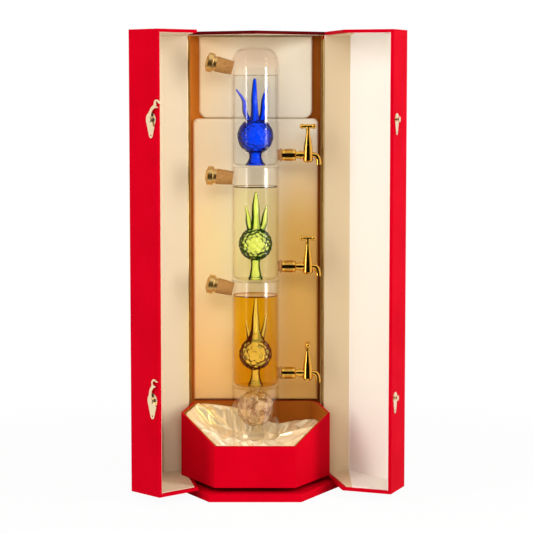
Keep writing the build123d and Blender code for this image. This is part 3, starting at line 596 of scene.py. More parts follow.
def settle(made, finish, body, replaced, sharp_deg):
    """Turns a mesh's faces outwards, smooths and dresses it, and rides it on a body for a CAD node."""
    mesh = made.data
    shape = bmesh.new()
    shape.from_mesh(mesh)
    bmesh.ops.remove_doubles(shape, verts=shape.verts, dist=WELD)
    bmesh.ops.recalc_face_normals(shape, faces=shape.faces)
    shape.to_mesh(mesh)
    shape.free()
    mesh.shade_smooth()
    mesh.set_sharp_from_angle(angle=math.radians(sharp_deg))
    mesh.materials.clear()
    mesh.materials.append(finish)
    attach(made, body)
    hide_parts(*replaced)


def dress(names, finish):
    """Gives CAD nodes a finish."""
    for name in names:
        cad[name].data.materials.clear()
        cad[name].data.materials.append(finish)


def turned(profile, segments):
    """Points and faces of a profile of (radius, height) turned about Z."""
    points = []
    rings = []
    for radius, height in profile:
        if radius == 0:
            rings.append([len(points)])
            points.append((0, 0, height))
            continue
        ring = []
        for k in range(segments):
            turn = 2 * math.pi * k / segments
            ring.append(len(points))
            points.append((radius * math.cos(turn), radius * math.sin(turn), height))
        rings.append(ring)
    return points, bridged(rings)


def bridged(rings, closed=True):
    """Faces between rings of point numbers; a ring of one number is a pole."""
    faces = []
    for a, b in zip(rings, rings[1:]):
        count = max(len(a), len(b))
        for k in range(count if closed else count - 1):
            n = (k + 1) % count
            if len(a) == 1:
                faces.append((a[0], b[n], b[k]))
            elif len(b) == 1:
                faces.append((a[k], a[n], b[0]))
            else:
                faces.append((a[k], a[n], b[n], b[k]))
    return faces


def joined(parts):
    """Several (points, faces) as one."""
    points = []
    faces = []
    for part_points, part_faces in parts:
        start = len(points)
        points.extend(part_points)
        faces.extend(tuple(start + i for i in face) for face in part_faces)
    return points, faces


def moved(part, matrix):
    points, faces = part
    return [matrix @ Vector(p) for p in points], faces


def arc(centre, radius, start_deg, end_deg, steps):
    """Points of a profile's arc about a centre."""
    turns = [math.radians(start_deg + (end_deg - start_deg) * k / steps) for k in range(steps + 1)]
    return [(centre[0] + radius * math.cos(t), centre[1] + radius * math.sin(t)) for t in turns]


# Camera, light and floor
# Lamps: azimuth in degrees right of the camera's side, distance, height, width, length, radiance
SOFTBOXES = {
    "right_softbox": (56, 1.5, 0.75, 0.32, 1.7, 12.6),
    "left_softbox": (-51, 1.5, 0.75, 0.46, 1.7, 5.6),
    "front_softbox": (0, 2.4, 1.55, 1.4, 0.9, 4.6),
}
LAMP_COLOUR = (1.0, 0.97, 0.93)
LAMP_AIM = Vector((0, 0, 0.36))
FILL_COLOUR = (1.0, 0.98, 0.95)
FILL_STRENGTH = 0.38
FLOOR_GREY = (0.86, 0.86, 0.86)
FLOOR_HALF = 8.0
# Near the object the floor glows a little less, so that it shows a shadow
SHADOW_NEAR = 0.25
SHADOW_FAR = 1.0
SHADOW_GLOW = 0.95
STUDIO_DARK = (0.012, 0.01, 0.009)
STUDIO_HALF = 1.7
STUDIO_NEAR_Y = -0.45
STUDIO_FAR_Y = -3.6
STUDIO_LIFT = 4 * MM
STUDIO_HEIGHT = 3.0
SEE_THROUGH_LAYERS = 40


def camera():
    lens = bpy.data.cameras.new("camera")
    lens.sensor_width = SENSOR_MM
    lens.lens = FOCAL_PIXELS / IMAGE_PIXELS * SENSOR_MM
    made = placed("camera", lens)
    pitch = math.atan((IMAGE_PIXELS / 2 - HORIZON_ROW) / FOCAL_PIXELS)
    made.location = CAMERA_PLACE
    made.rotation_euler = (math.pi / 2 - pitch, 0, 0)
    bpy.context.scene.camera = made


def softbox(name, azimuth_deg, distance, height, width, length, radiance):
    """A soft lamp aimed at the tower."""
    lamp = bpy.data.lights.new(name, "AREA")
    lamp.shape = "RECTANGLE"
    lamp.size = width
    lamp.size_y = length
    lamp.energy = radiance * math.pi * width * length
    lamp.color = LAMP_COLOUR
    made = placed(name, lamp)
    turn = math.radians(azimuth_deg)
    made.location = (distance * math.sin(turn), -distance * math.cos(turn), height)
    made.rotation_euler = (LAMP_AIM - made.location).to_track_quat("-Z", "Y").to_euler()
    made.visible_camera = False
    return made


def surroundings():
    """White to the camera and in shiny or clear surfaces, and a softer fill light for the rest."""
    world = bpy.data.worlds.new("studio")
    bpy.context.scene.world = world
    world.use_nodes = True
    nodes = Nodes(world.node_tree)
    fill = nodes.add("ShaderNodeBackground", values={"Color": rgba(FILL_COLOUR), "Strength": FILL_STRENGTH})
    white = nodes.add("ShaderNodeBackground", values={"Color": rgba(WHITE), "Strength": 1.0})
    nodes.end("ShaderNodeOutputWorld", nodes.both(nodes.seen(), fill, white))


def floor():
    """A white floor, which shows a faint shadow near the object."""
    finish = Finish("white_floor")
    flat = finish.add("ShaderNodeBsdfDiffuse", values={"Color": rgba(FLOOR_GREY)})
    glow = finish.add("ShaderNodeEmission", values={"Color": rgba(WHITE), "Strength": 1.0})
    x, y = finish.axes()[:2]
    share = (x * x + y * y).span(SHADOW_NEAR ** 2, SHADOW_FAR ** 2, SHADOW_GLOW, 1.0)
    half = FLOOR_HALF
    corners = [(-half, -half, 0), (half, -half, 0), (half, half, 0), (-half, half, 0)]
    made = loose_mesh("floor", (corners, [(0, 1, 2, 3)]))
    made.data.materials.append(finish.done(finish.both(finish.seen() * share, flat, glow)))


def dark_studio():
    """The unlit studio on the camera's side, which only shiny surfaces show."""
    finish = Finish("dark_studio")
    near = [(-STUDIO_HALF, STUDIO_NEAR_Y), (STUDIO_HALF, STUDIO_NEAR_Y)]
    far = [(-STUDIO_HALF, STUDIO_FAR_Y), (STUDIO_HALF, STUDIO_FAR_Y)]
    plan = [near[0], *far, near[1]]
    corners = [(x, y, z) for z in (STUDIO_LIFT, STUDIO_HEIGHT) for x, y in plan]
    floor_and_walls = [(0, 1, 2, 3), (0, 1, 5, 4), (1, 2, 6, 5), (2, 3, 7, 6)]
    made = loose_mesh("dark_studio", (corners, floor_and_walls))
    dark = finish.add("ShaderNodeBsdfDiffuse", values={"Color": rgba(STUDIO_DARK)})
    made.data.materials.append(finish.done(dark))
    made.visible_camera = False
    made.visible_diffuse = False
    made.visible_transmission = False
    made.visible_shadow = False


bpy.context.scene.view_settings.view_transform = "Standard"
bpy.context.scene.cycles.transparent_max_bounces = SEE_THROUGH_LAYERS
camera()
surroundings()
floor()
dark_studio()
lamps = {name: softbox(name, *row) for name, row in SOFTBOXES.items()}
lamps["front_softbox"].visible_glossy = False

# Padded back panels
PAD_EDGE_ROUND = 4 * MM
PAD_CROWN = 1.6 * MM
PAD_PUCKER = 0.3 * MM
PAD_PUCKER_WAVES = (95, 60)
PAD_LEAST_CORNER = 0.05 * MM
PAD_CENTRE_GAP = 1 * MM
PAD_ROLL_STEPS = 8
PAD_CROWN_SHARES = (0.12, 0.25, 0.4, 0.6, 0.8, 1.0)
PAD_ARC_STEPS = 6
PAD_SIDE_STEPS = 14
# Radii of a pad's lower and upper corners
PAD_CORNERS = {"upper_back_pad": (12 * MM, 1 * MM), "lower_back_pad": (1 * MM, 8 * MM)}


def rounded_outline(half, low, high, low_corner, high_corner, inset):
    """Points of a panel's outline in X and Z, drawn in by an inset."""
    corners = (
        (half, low, low_corner, -90, (-1, 1)),
        (half, high, high_corner, 0, (-1, -1)),
        (-half, high, high_corner, 90, (1, -1)),
        (-half, low, low_corner, 180, (1, 1)),
    )
    arcs = []
    for x, z, corner, start, inward in corners:
        radius = max(corner - inset, PAD_LEAST_CORNER)
        shift = inset + radius
        centre = (x + inward[0] * shift, z + inward[1] * shift)
        arcs.append(arc(centre, radius, start, start + 90, PAD_ARC_STEPS))
    points = []
    for k, run in enumerate(arcs):
        points.extend(run)
        last = Vector(run[-1])
        step = (Vector(arcs[(k + 1) % len(arcs)][0]) - last) / PAD_SIDE_STEPS
        points.extend(tuple(last + step * n) for n in range(1, PAD_SIDE_STEPS))
    return points


def padded_panel(name):
    """A board covered with foam and cloth: soft rolled edges and a low crown."""
    low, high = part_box(name)
    half = (high.x - low.x) / 2
    depth = high.y - low.y
    low_corner, high_corner = PAD_CORNERS[name]
    side_rise = depth - PAD_EDGE_ROUND - PAD_CROWN
    steps = [(0.0, 0.0), (0.0, side_rise * 0.5), (0.0, side_rise)]
    for k in range(1, PAD_ROLL_STEPS + 1):
        turn = math.radians(90 * k / PAD_ROLL_STEPS)
        steps.append((PAD_EDGE_ROUND * (1 - math.cos(turn)), side_rise + PAD_EDGE_ROUND * math.sin(turn)))
    reach = min(half, (high.z - low.z) / 2) - PAD_CENTRE_GAP
    for share in PAD_CROWN_SHARES:
        crown = PAD_CROWN * (1 - (1 - share) ** 2)
        steps.append((PAD_EDGE_ROUND + (reach - PAD_EDGE_ROUND) * share, side_rise + PAD_EDGE_ROUND + crown))
    across, up = PAD_PUCKER_WAVES
    points = []
    rings = []
    for inset, rise in steps:
        ring = []
        for x, z in rounded_outline(half, low.z, high.z, low_corner, high_corner, inset):
            pucker = PAD_PUCKER * math.sin(x * across) * math.sin(z * up) if rise > side_rise else 0.0
            ring.append(len(points))
            points.append((x, high.y - rise + abs(pucker), z))
        rings.append(ring)
    faces = bridged(rings)
    faces.append(tuple(rings[0]))
    faces.append(tuple(reversed(rings[-1])))
    made = loose_mesh(name + "_cloth", (points, faces))
    settle(made, pad_finish, CASE, (name,), 60)


padded_panel("upper_back_pad")
padded_panel("lower_back_pad")

# Satin in the tray: loose cloth that settles in folds round the tower's foot
SATIN_TURNS = 192
SATIN_RINGS = 26
SATIN_ROWS = SATIN_RINGS + 3
SATIN_THICKNESS = 0.5 * MM
SATIN_WALL_GAP = 1.0 * MM
FOOT_GAP = 0.7 * MM
FOOT_RADIUS = node_corner("glass_foot", 1)[0] + FOOT_GAP
FOOT_BED_GAP = 0.6 * MM
FOOT_BED_Z = node_corner("glass_foot", 0)[2] - FOOT_BED_GAP
SATIN_FOOT_EASE = 1 * MM
SATIN_FOOT_RADIUS = FOOT_RADIUS + SATIN_FOOT_EASE
SATIN_FOOT_Z = 80 * MM
SATIN_SAG = 8 * MM
SATIN_SLACK = 0.10
SATIN_FRAMES = 30
SATIN_HOLE_RADIUS = 3 * MM
SATIN_WAVE = 5 * MM
# Small waves: scale, layer of the noise and strength
SATIN_NOISES = ((26, 0.4, 1.0), (60, 2.1, 0.3))
CREST_WANDER_DEG = 14
CREST_LEVEL = 3.5 * MM
BED_DROP = 4 * MM
BED_FOLD_SHARE = 0.7
BED_GAP = 1 * MM
CLOTH_GAP = 1.2 * MM
TRAY_RIM_FRONT = 82 * MM
TRAY_RIM_RISE = TRAY_RIM_REAR - TRAY_RIM_FRONT
TRAY_SLOPE_START = TRAY_FRONT_Y + TRAY_WALL
TRAY_SLOPE_LENGTH = 127 * MM
# Turn from the front to the right in degrees, and millimetres from the rim down to the cloth's edge
SATIN_EDGE = (
    (-180, 24), (-150, 12), (-120, 4), (-60, 1.5), (0, 1.0), (48, 1.5), (75, 7), (100, 24), (140, 36),
    (180, 24),
)
# Deep folds: turn in degrees, height in millimetres and half width in degrees of each crest
SATIN_CRESTS = (
    (-152, 12, 12), (-118, 16, 11), (-84, 14, 10), (-52, 15, 10), (-20, 12, 9), (12, 14, 10), (40, 8, 7),
    (66, 20, 13), (114, 8, 10), (150, 9, 11), (178, 8, 9),
)


def tray_corners(depth):
    """Plan corners of the tray, drawn in by a depth."""
    right = [TRAY_FRONT, TRAY_SIDE, TRAY_REAR]
    loop = [Vector(p) for p in right] + [Vector((-x, y)) for x, y in reversed(right)]
    corners = []
    for k, corner in enumerate(loop):
        before = (corner - loop[k - 1]).normalized()
        after = (loop[(k + 1) % len(loop)] - corner).normalized()
        inward = Vector((-before.y, before.x)) + Vector((-after.y, after.x))
        corners.append(corner + inward * (depth / (1 + before.dot(after))))
    return corners


def wall_reach(corners, turn):
    """The place on the tray's wall in a direction from the tower."""
    way = Vector((math.sin(turn), -math.cos(turn)))
    for k, start in enumerate(corners):
        along = corners[(k + 1) % len(corners)] - start
        cross = way.x * along.y - way.y * along.x
        far = (start.x * along.y - start.y * along.x) / cross if cross else -1.0
        share = (start.x * way.y - start.y * way.x) / cross if cross else -1.0
        if far > 0 and 0 <= share <= 1:
            return way * far
    return way * SATIN_FOOT_RADIUS


def crest(turn_deg, share):
    """Height of the deep folds in a direction; each crest wanders on its way out."""
    height = 0.0
    for centre, rise, half in SATIN_CRESTS:
        away = turn_deg - centre - CREST_WANDER_DEG * math.sin(centre) * (share - 0.4)
        away = (away + 180) % 360 - 180
        height += rise * MM * math.exp(-((away / half) ** 2))
    return height - CREST_LEVEL


def satin_grid(drop, fold_share):
    """Rows of points from under the tower's foot to the tray's wall."""
    corners = tray_corners(TRAY_WALL + SATIN_WALL_GAP)
    turns_deg = [row[0] for row in SATIN_EDGE]
    drops = [row[1] * MM for row in SATIN_EDGE]
    points = []
    for k in range(SATIN_TURNS):
        turn = 2 * math.pi * k / SATIN_TURNS - math.pi
        turn_deg = math.degrees(turn)
        outer = wall_reach(corners, turn)
        way = outer.normalized()
        for radius in (SATIN_HOLE_RADIUS, FOOT_RADIUS):
            points.append((*(way * radius), FOOT_BED_Z - drop))
        inner = way * SATIN_FOOT_RADIUS
        climb = min(max((outer.y - TRAY_SLOPE_START) / TRAY_SLOPE_LENGTH, 0.0), 1.0)
        edge_z = TRAY_RIM_FRONT + TRAY_RIM_RISE * climb - np.interp(turn_deg, turns_deg, drops)
        for n in range(SATIN_RINGS + 1):
            share = n / SATIN_RINGS
            at = inner.lerp(outer, share)
            bow = math.sin(math.pi * share)
            z = SATIN_FOOT_Z + (edge_z - SATIN_FOOT_Z) * share ** 1.3 - SATIN_SAG * bow
            wave = 0.0
            for scale, layer, strength in SATIN_NOISES:
                wave += strength * noise.noise(Vector((at.x, at.y, layer)) * scale)
            z += fold_share * (crest(turn_deg, share) + SATIN_WAVE * wave) * bow ** 0.7 - drop
            points.append((at.x, at.y, z))
    rings = [[k * SATIN_ROWS + n for n in range(SATIN_ROWS)] for k in range(SATIN_TURNS)]
    faces = bridged([*rings, rings[0]], closed=False)
    faces.append(tuple(ring[0] for ring in rings))
    return points, faces


def settled_satin():
    """Cloth longer than its bed, let fall on it, and pinned at the foot and along the tray's wall."""
    bed = loose_mesh("satin_bed", satin_grid(BED_DROP, BED_FOLD_SHARE))
    bed.modifiers.new("bed", "COLLISION")
    bed.collision.thickness_outer = BED_GAP
    cloth = loose_mesh("tray_satin", satin_grid(0.0, 1.0))
    held = cloth.vertex_groups.new(name="held")
    edge = [k * SATIN_ROWS + n for k in range(SATIN_TURNS) for n in (0, 1, 2, SATIN_ROWS - 1)]
    held.add(edge, 1.0, "REPLACE")
    fall = cloth.modifiers.new("fall", "CLOTH")
    fall.settings.quality = 7
    fall.settings.mass = 0.08
    fall.settings.tension_stiffness = 12
    fall.settings.compression_stiffness = 8
    fall.settings.shear_stiffness = 4
    fall.settings.bending_stiffness = 8
    fall.settings.air_damping = 2
    fall.settings.shrink_min = -SATIN_SLACK
    fall.settings.vertex_group_mass = "held"
    fall.collision_settings.distance_min = CLOTH_GAP
    fall.collision_settings.collision_quality = 3
    fall.point_cache.frame_start = 1
    fall.point_cache.frame_end = SATIN_FRAMES
    for frame_number in range(1, SATIN_FRAMES + 1):
        bpy.context.scene.frame_set(frame_number)
    taken(cloth)
    bpy.context.scene.frame_set(1)
    bpy.data.objects.remove(bed)
    cloth.vertex_groups.clear()
    finer = cloth.modifiers.new("finer", "SUBSURF")
    finer.levels = 1
    finer.render_levels = 1
    thick = cloth.modifiers.new("thick", "SOLIDIFY")
    thick.thickness = SATIN_THICKNESS
    thick.offset = 0.0
    taken(cloth)
    settle(cloth, satin_finish, CASE, ("satin_lining",), 180)


settled_satin()

# Agave ornaments of blown glass
# A leaf's rows: x and y as shares of the bore, the way from root to tip, girth as a share of the heart
LEAF_SHARES = {
    "blue_agave": (
        ((-0.02, -0.19, 0.0, 0.30), (-0.03, -0.19, 0.28, 0.19),
         (-0.05, -0.19, 0.65, 0.16), (-0.03, -0.19, 1.0, 0.09)),
        ((-0.18, 0.0, 0.0, 0.17), (-0.46, 0.0, 0.27, 0.13),
         (-0.52, 0.0, 0.53, 0.11), (-0.84, 0.0, 0.77, 0.06)),
        ((0.2, -0.03, 0.0, 0.2), (0.34, -0.03, 0.24, 0.17),
         (0.38, -0.03, 0.58, 0.12), (0.52, -0.03, 0.82, 0.05)),
        ((0.0, 0.2, 0.0, 0.2), (-0.02, 0.34, 0.3, 0.15),
         (-0.04, 0.42, 0.55, 0.11), (-0.04, 0.48, 0.78, 0.05)),
    ),
    "green_agave": (
        ((0.0, -0.12, 0.0, 0.30), (0.01, -0.12, 0.32, 0.235),
         (0.01, -0.12, 0.7, 0.2), (0.02, -0.12, 1.0, 0.08)),
        ((-0.18, 0.0, 0.0, 0.19), (-0.3, 0.0, 0.27, 0.17),
         (-0.36, 0.0, 0.5, 0.1), (-0.45, 0.0, 0.67, 0.045)),
        ((0.2, 0.0, 0.0, 0.2), (0.37, 0.0, 0.23, 0.19),
         (0.43, 0.0, 0.47, 0.14), (0.51, 0.0, 0.68, 0.045)),
        ((0.0, 0.25, 0.0, 0.2), (0.02, 0.34, 0.27, 0.16),
         (0.02, 0.4, 0.51, 0.11), (0.03, 0.44, 0.7, 0.05)),
    ),
    "clear_agave": (
        ((0.0, -0.06, 0.0, 0.84), (0.0, -0.06, 0.16, 0.57), (0.0, -0.06, 0.34, 0.29),
         (0.0, -0.06, 0.68, 0.19), (0.02, -0.06, 1.0, 0.1)),
        ((-0.22, 0.06, 0.1, 0.19), (-0.3, 0.06, 0.3, 0.13),
         (-0.37, 0.06, 0.43, 0.09), (-0.42, 0.06, 0.55, 0.045)),
        ((0.22, 0.06, 0.1, 0.19), (0.35, 0.06, 0.36, 0.13),
         (0.43, 0.06, 0.53, 0.09), (0.48, 0.06, 0.69, 0.045)),
        ((0.0, 0.3, 0.1, 0.19), (0.0, 0.38, 0.33, 0.14),
         (0.0, 0.44, 0.5, 0.1), (0.0, 0.47, 0.66, 0.05)),
    ),
}
# Foot radius, stem radius, stem height, heart radius, share of the heart where leaves root, knobs
AGAVE_SIZES = {
    "blue_agave": (15 * MM, 9.5 * MM, 16.5 * MM, 27.8 * MM, 0.62, 240),
    "green_agave": (11 * MM, 7 * MM, 27.5 * MM, 26 * MM, 0.62, 150),
    "clear_agave": (11.5 * MM, 6.5 * MM, 22.5 * MM, 25.5 * MM, 0.26, 110),
}
AGAVE_FOOT_EDGE = 2.2 * MM
AGAVE_FOOT_TOP = 3.6 * MM
AGAVE_STEM_LAP = 3 * MM
AGAVE_STEM_TOP = 5 * MM
KNOB_RISE_SHARE = 0.32
KNOB_SCATTER = 0.28
KNOB_SIZE_RANGE = (0.8, 1.2)
LEAF_TIP_GAP = 1 * MM
LEAF_RINGS = 26
LEAF_SEGMENTS = 24
FLUTES = 4
FLUTE_DEPTH = 0.10
FLUTE_TWIST = 2.0
AGAVE_VOXEL = 0.62 * MM
AGAVE_EASING = 3


def knobbed_heart(radius, centre_z, knobs):
    """A ball covered with uneven low knobs, set in a loose spiral from pole to pole."""
    shape = bmesh.new()
    bmesh.ops.create_icosphere(shape, subdivisions=6, radius=1.0)
    unit = np.array([v.co for v in shape.verts])
    faces = [tuple(v.index for v in f.verts) for f in shape.faces]
    shape.free()
    count = np.arange(knobs) + 0.5
    polar = np.arccos(1 - 2 * count / knobs)
    turn = math.pi * (1 + math.sqrt(5)) * count
    centres = np.stack([np.cos(turn) * np.sin(polar), np.sin(turn) * np.sin(polar), np.cos(polar)], 1)
    reach = 2.0 / math.sqrt(knobs)
    uneven = np.random.default_rng(knobs)
    centres += uneven.normal(0.0, KNOB_SCATTER * reach, centres.shape)
    centres /= np.linalg.norm(centres, axis=1)[:, None]
    sizes = reach * uneven.uniform(*KNOB_SIZE_RANGE, knobs)
    near = (np.arccos(np.clip(unit @ centres.T, -1, 1)) / sizes).min(1)
    rise = KNOB_RISE_SHARE * reach * radius
    lift = np.clip(1 - near ** 2, 0, 1)
    points = unit * (radius - rise + rise * lift)[:, None] + np.array((0, 0, centre_z))
    return [Vector(p) for p in points], faces


def smooth_row(rows, share):
    """A row of numbers on a smooth curve through the given rows."""
    place = share * (len(rows) - 1)
    k = min(int(place), len(rows) - 2)
    t = place - k
    p0, p1, p2, p3 = (np.array(rows[min(max(i, 0), len(rows) - 1)]) for i in (k - 1, k, k + 1, k + 2))
    return 0.5 * (2 * p1 + (p2 - p0) * t + (2 * p0 - 5 * p1 + 4 * p2 - p3) * t ** 2
                  + (3 * p1 - p0 - 3 * p2 + p3) * t ** 3)


def fluted_leaf(rows):
    """A tapering leaf with shallow flutes, through rows of x, y, z and radius."""
    rings = []
    points = []
    for k in range(LEAF_RINGS + 1):
        x, y, z, radius = smooth_row(rows, k / LEAF_RINGS)
        ring = []
        for n in range(LEAF_SEGMENTS):
            turn = 2 * math.pi * n / LEAF_SEGMENTS
            girth = radius * (1 + FLUTE_DEPTH * math.cos(FLUTES * turn + FLUTE_TWIST * k / LEAF_RINGS))
            ring.append(len(points))
            points.append(Vector((x + girth * math.cos(turn), y + girth * math.sin(turn), z)))
        rings.append(ring)
    faces = bridged(rings)
    faces.append(tuple(reversed(rings[0])))
    tip = smooth_row(rows, 1.0)
    rings.append([len(points)])
    points.append(Vector((tip[0], tip[1], tip[2] + tip[3])))
    faces.extend(bridged(rings[-2:]))
    return points, faces


def remeshed(name, part):
    """Overlapping closed shapes as one skin."""
    made = loose_mesh(name, part)
    join = made.modifiers.new("join", "REMESH")
    join.mode = "VOXEL"
    join.voxel_size = AGAVE_VOXEL
    ease = made.modifiers.new("ease", "SMOOTH")
    ease.factor = 0.5
    ease.iterations = AGAVE_EASING
    return taken(made)


def agave(name, finish):
    """An ornament: foot, stem, knobbed heart and leaves in one glass."""
    low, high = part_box(name)
    foot, stem, stem_height, heart, root_share, knobs = AGAVE_SIZES[name]
    heart_z = low.z + stem_height + heart
    root_z = heart_z + root_share * heart
    profile = [
        (0, low.z), (foot, low.z), (foot, low.z + AGAVE_FOOT_EDGE), (foot * 0.86, low.z + AGAVE_FOOT_TOP),
        (stem * 1.06, low.z + stem_height * 0.55), (stem * 0.96, low.z + stem_height * 0.8),
        (stem * 1.1, low.z + stem_height + AGAVE_STEM_LAP), (0, low.z + stem_height + AGAVE_STEM_TOP),
    ]
    parts = [turned(profile, 48), knobbed_heart(heart, heart_z, knobs)]
    for leaf in LEAF_SHARES[name]:
        rows = [
            (x * BORE_RADIUS, y * BORE_RADIUS, root_z + way * (high.z - LEAF_TIP_GAP - root_z), girth * heart)
            for x, y, way, girth in leaf
        ]
        parts.append(fluted_leaf(rows))
    made = remeshed(name + "_glass", joined(parts))
    settle(made, finish, CASE, (name,), 180)


# Finish, slot, colours of heart, outline and shadow, refraction, clearness, and where the outline darkens
ORNAMENTS = {
    "blue_agave": (
        "blue_glass", "blue_glass",
        (0.0, 0.048, 0.86), (0.0, 0.0, 0.07), (0.86, 0.87, 0.88), 1.35, 0.06, 0.14, 0.50,
    ),
    "green_agave": (
        "green_glass", "green_glass",
        (0.88, 1.0, 0.24), (0.004, 0.034, 0.003), (0.95, 0.97, 0.70), 1.25, 0.6, 0.12, 0.40,
    ),
    "clear_agave": (
        "amber_agave_glass", "clear_glass",
        (1.0, 0.90, 1.0), (0.085, 0.010, 0.016), (1.0, 0.92, 0.65), 1.14, 0.75, 0.16, 0.44,
    ),
}
for name, (finish_name, slot, *looks) in ORNAMENTS.items():
    agave(name, ornament_glass(finish_name, *looks))

# Knobbed glass bulb that hangs in the tower's foot
BULB_NECK_RADIUS = 8 * MM
BULB_KNOBS = 60


def foot_bulb():
    low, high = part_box("foot_bulb")
    radius = (high.x - low.x) / 2
    neck = [(0, high.z), (BULB_NECK_RADIUS, high.z), (BULB_NECK_RADIUS, low.z + radius), (0, low.z + radius)]
    parts = [knobbed_heart(radius, low.z + radius, BULB_KNOBS), turned(neck, 48)]
    made = remeshed("foot_bulb_glass", joined(parts))
    settle(made, bulb_crystal(), CASE, ("foot_bulb",), 180)


foot_bulb()

# Drinks, each with a raised rim where it meets the glass
DRINK_CORNER = 7 * MM
# Inset from the glass and rise over the drink, in millimetres
MENISCUS = ((0.0, 1.2), (0.5, 0.6), (1.3, 0.2), (2.6, 0.0))
# Slot, then tints of the front, the back, the outline and the raised rim
DRINK_TINTS = {
    "upper": (
        "clear_drink",
        (0.965, 0.985, 1.0), (0.95, 0.98, 1.0), (0.74, 0.71, 0.70), (0.88, 0.85, 0.82),
    ),
    "middle": (
        "straw_drink",
        (1.0, 0.995, 0.94), (1.0, 0.995, 0.85), (0.84, 0.70, 0.36), (0.20, 0.11, 0.04),
    ),
    "lower": (
        "amber_drink",
        (0.98, 0.93, 0.34), (0.96, 0.71, 0.02), (0.74, 0.36, 0.01), (0.42, 0.16, 0.02),
    ),
}
surface_z = {level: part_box(f"{level}_drink")[1].z for level in LEVELS}


def poured(level, finish):
    low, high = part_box(f"{level}_drink")
    radius = high.x
    profile = [(0, low.z), (radius - DRINK_CORNER, low.z)]
    profile += arc((radius - DRINK_CORNER, low.z + DRINK_CORNER), DRINK_CORNER, -90, 0, 8)[1:]
    profile += [(radius - inset * MM, high.z + rise * MM) for inset, rise in MENISCUS]
    profile.append((0, high.z))
    made = loose_mesh(f"{level}_drink_poured", turned(profile, 128))
    settle(made, finish, CASE, (f"{level}_drink",), 70)


for level, (slot, *tints) in DRINK_TINTS.items():
    poured(level, drink(slot, surface_z[level], *tints))

# Knurled tap nuts
NUT_GROOVE = 0.9 * MM
NUT_GROOVE_WIDTH = 1.4 * MM
NUT_GROOVE_SHARES = (0.14, 0.86)
NUT_CHAMFER = 1 * MM
NUT_BORE = 4.9 * MM
RIB_COUNT = 44
# Depth, width and length of a rib
RIB_SIZE = (1.0 * MM, 0.75 * MM, 12.5 * MM)


def rib_ring():
    """A Geometry Nodes tree: upright ribs spaced evenly round a circle."""
    tree = bpy.data.node_groups.new("rib_ring", "GeometryNodeTree")
    tree.interface.new_socket("Geometry", in_out="OUTPUT", socket_type="NodeSocketGeometry")
    nodes = Nodes(tree)
    keys = {}
    given = {}
    for name, kind in (("Count", "Int"), ("Radius", "Float"), ("Rib Size", "Vector"), ("Finish", "Material")):
        socket = tree.interface.new_socket(name, in_out="INPUT", socket_type=f"NodeSocket{kind}")
        keys[name] = socket.identifier
        given[name] = nodes.add("NodeGroupInput", output=name)
    spacing = {"Vertices": given["Count"], "Radius": given["Radius"]}
    circle = nodes.add("GeometryNodeMeshCircle", values=spacing)
    rib = nodes.add("GeometryNodeMeshCube", values={"Size": given["Rib Size"]})
    outward = nodes.add("GeometryNodeInputPosition")
    turn = nodes.add("FunctionNodeAlignRotationToVector", {"axis": "X"}, {"Vector": outward})
    places = {"Points": circle, "Instance": rib, "Rotation": turn}
    spread = nodes.add("GeometryNodeInstanceOnPoints", values=places)
    real = nodes.add("GeometryNodeRealizeInstances", values={"Geometry": spread})
    dressed = nodes.add("GeometryNodeSetMaterial", values={"Geometry": real, "Material": given["Finish"]})
    nodes.end("NodeGroupOutput", dressed, "Geometry")
    return tree, keys


def ribs(tree, keys, radius, finish):
    """Points and faces of one ring of ribs about Z."""
    carrier = placed("ribs", bpy.data.meshes.new("ribs"))
    maker = carrier.modifiers.new("ribs", "NODES")
    maker.node_group = tree
    maker[keys["Count"]] = RIB_COUNT
    maker[keys["Radius"]] = radius
    maker[keys["Rib Size"]] = RIB_SIZE
    maker[keys["Finish"]] = finish
    mesh = taken(carrier).data
    part = ([v.co.copy() for v in mesh.vertices], [tuple(f.vertices) for f in mesh.polygons])
    bpy.data.objects.remove(carrier)
    return part


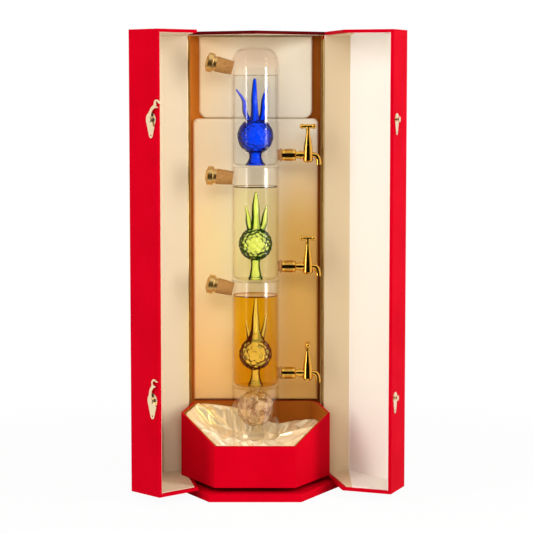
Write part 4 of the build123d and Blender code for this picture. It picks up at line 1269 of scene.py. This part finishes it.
def knurled_nuts():
    tree, keys = rib_ring()
    for level in LEVELS:
        low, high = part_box(f"{level}_tap_nut")
        outer = (high.z - low.z) / 2
        length = high.x - low.x
        core = outer - RIB_SIZE[0] / 2
        profile = [(NUT_BORE, 0), (core - NUT_CHAMFER, 0), (outer, NUT_CHAMFER)]
        for share in NUT_GROOVE_SHARES:
            start = share * length - NUT_GROOVE_WIDTH / 2
            end = start + NUT_GROOVE_WIDTH
            rim = outer if share < 0.5 else core
            far = core if share < 0.5 else outer
            profile += [(rim, start), (outer - NUT_GROOVE, start), (outer - NUT_GROOVE, end), (far, end)]
        profile += [(outer, length - NUT_CHAMFER), (core - NUT_CHAMFER, length)]
        profile += [(NUT_BORE, length), (NUT_BORE, 0)]
        around = Matrix.Translation((low.x, 0, (low.z + high.z) / 2)) @ Matrix.Rotation(math.pi / 2, 4, "Y")
        middle = Matrix.Translation((0, 0, length / 2))
        parts = [turned(profile, 72), moved(ribs(tree, keys, core, gold), middle)]
        made = loose_mesh(f"{level}_tap_nut_knurled", moved(joined(parts), around))
        settle(made, gold, CASE, (f"{level}_tap_nut",), 35)


knurled_nuts()

# Finishes of the solids that stay as they are
dress(("plinth", "tray_riser"), red_case)
dress(("top_cap",), red_cap)
dress(("back_shell",), red_back)
dress(("tray",), red_tray)
for side in ("left", "right"):
    dress([f"{side}_door_{n}" for n in ("shell", "floor", "roof")], red_case)
    dress([f"{side}_hinge_{n}" for n in ("body_leaf", "pin", "door_leaf")], hinge_brass)
dress(("left_door_lining",), cream)
dress(("right_door_lining",), shaded_and_lit)
for level in ("upper", "lower"):
    dress([f"{level}_{n}" for n in ("catch", "hook_plate", "hook")], latch_gold)
for level in LEVELS:
    dress([f"{level}_tap_body", f"{level}_tap_key"], gold)
    dress([f"{level}_stopper_cap"], cap_bronze)
    dress([f"{level}_cork"], cork_finish)
    dress([f"{level}_tap_bung"], bung_finish)
upper_glints = (surface_z["upper"] - UPPER_GLINT_DEPTH, surface_z["upper"] + UPPER_GLINT_RISE)
dress(("upper_chamber",), clear_glass("upper_glass", *upper_glints, dome_z=surface_z["upper"]))
for level in ("middle", "lower"):
    soft_glints = (surface_z[level], None, SOFT_GLINT, SOFT_GLINT_ROUGHNESS)
    dress((f"{level}_chamber",), clear_glass(f"{level}_glass", *soft_glints))
dress(("glass_foot",), clear_glass("foot_glass"))
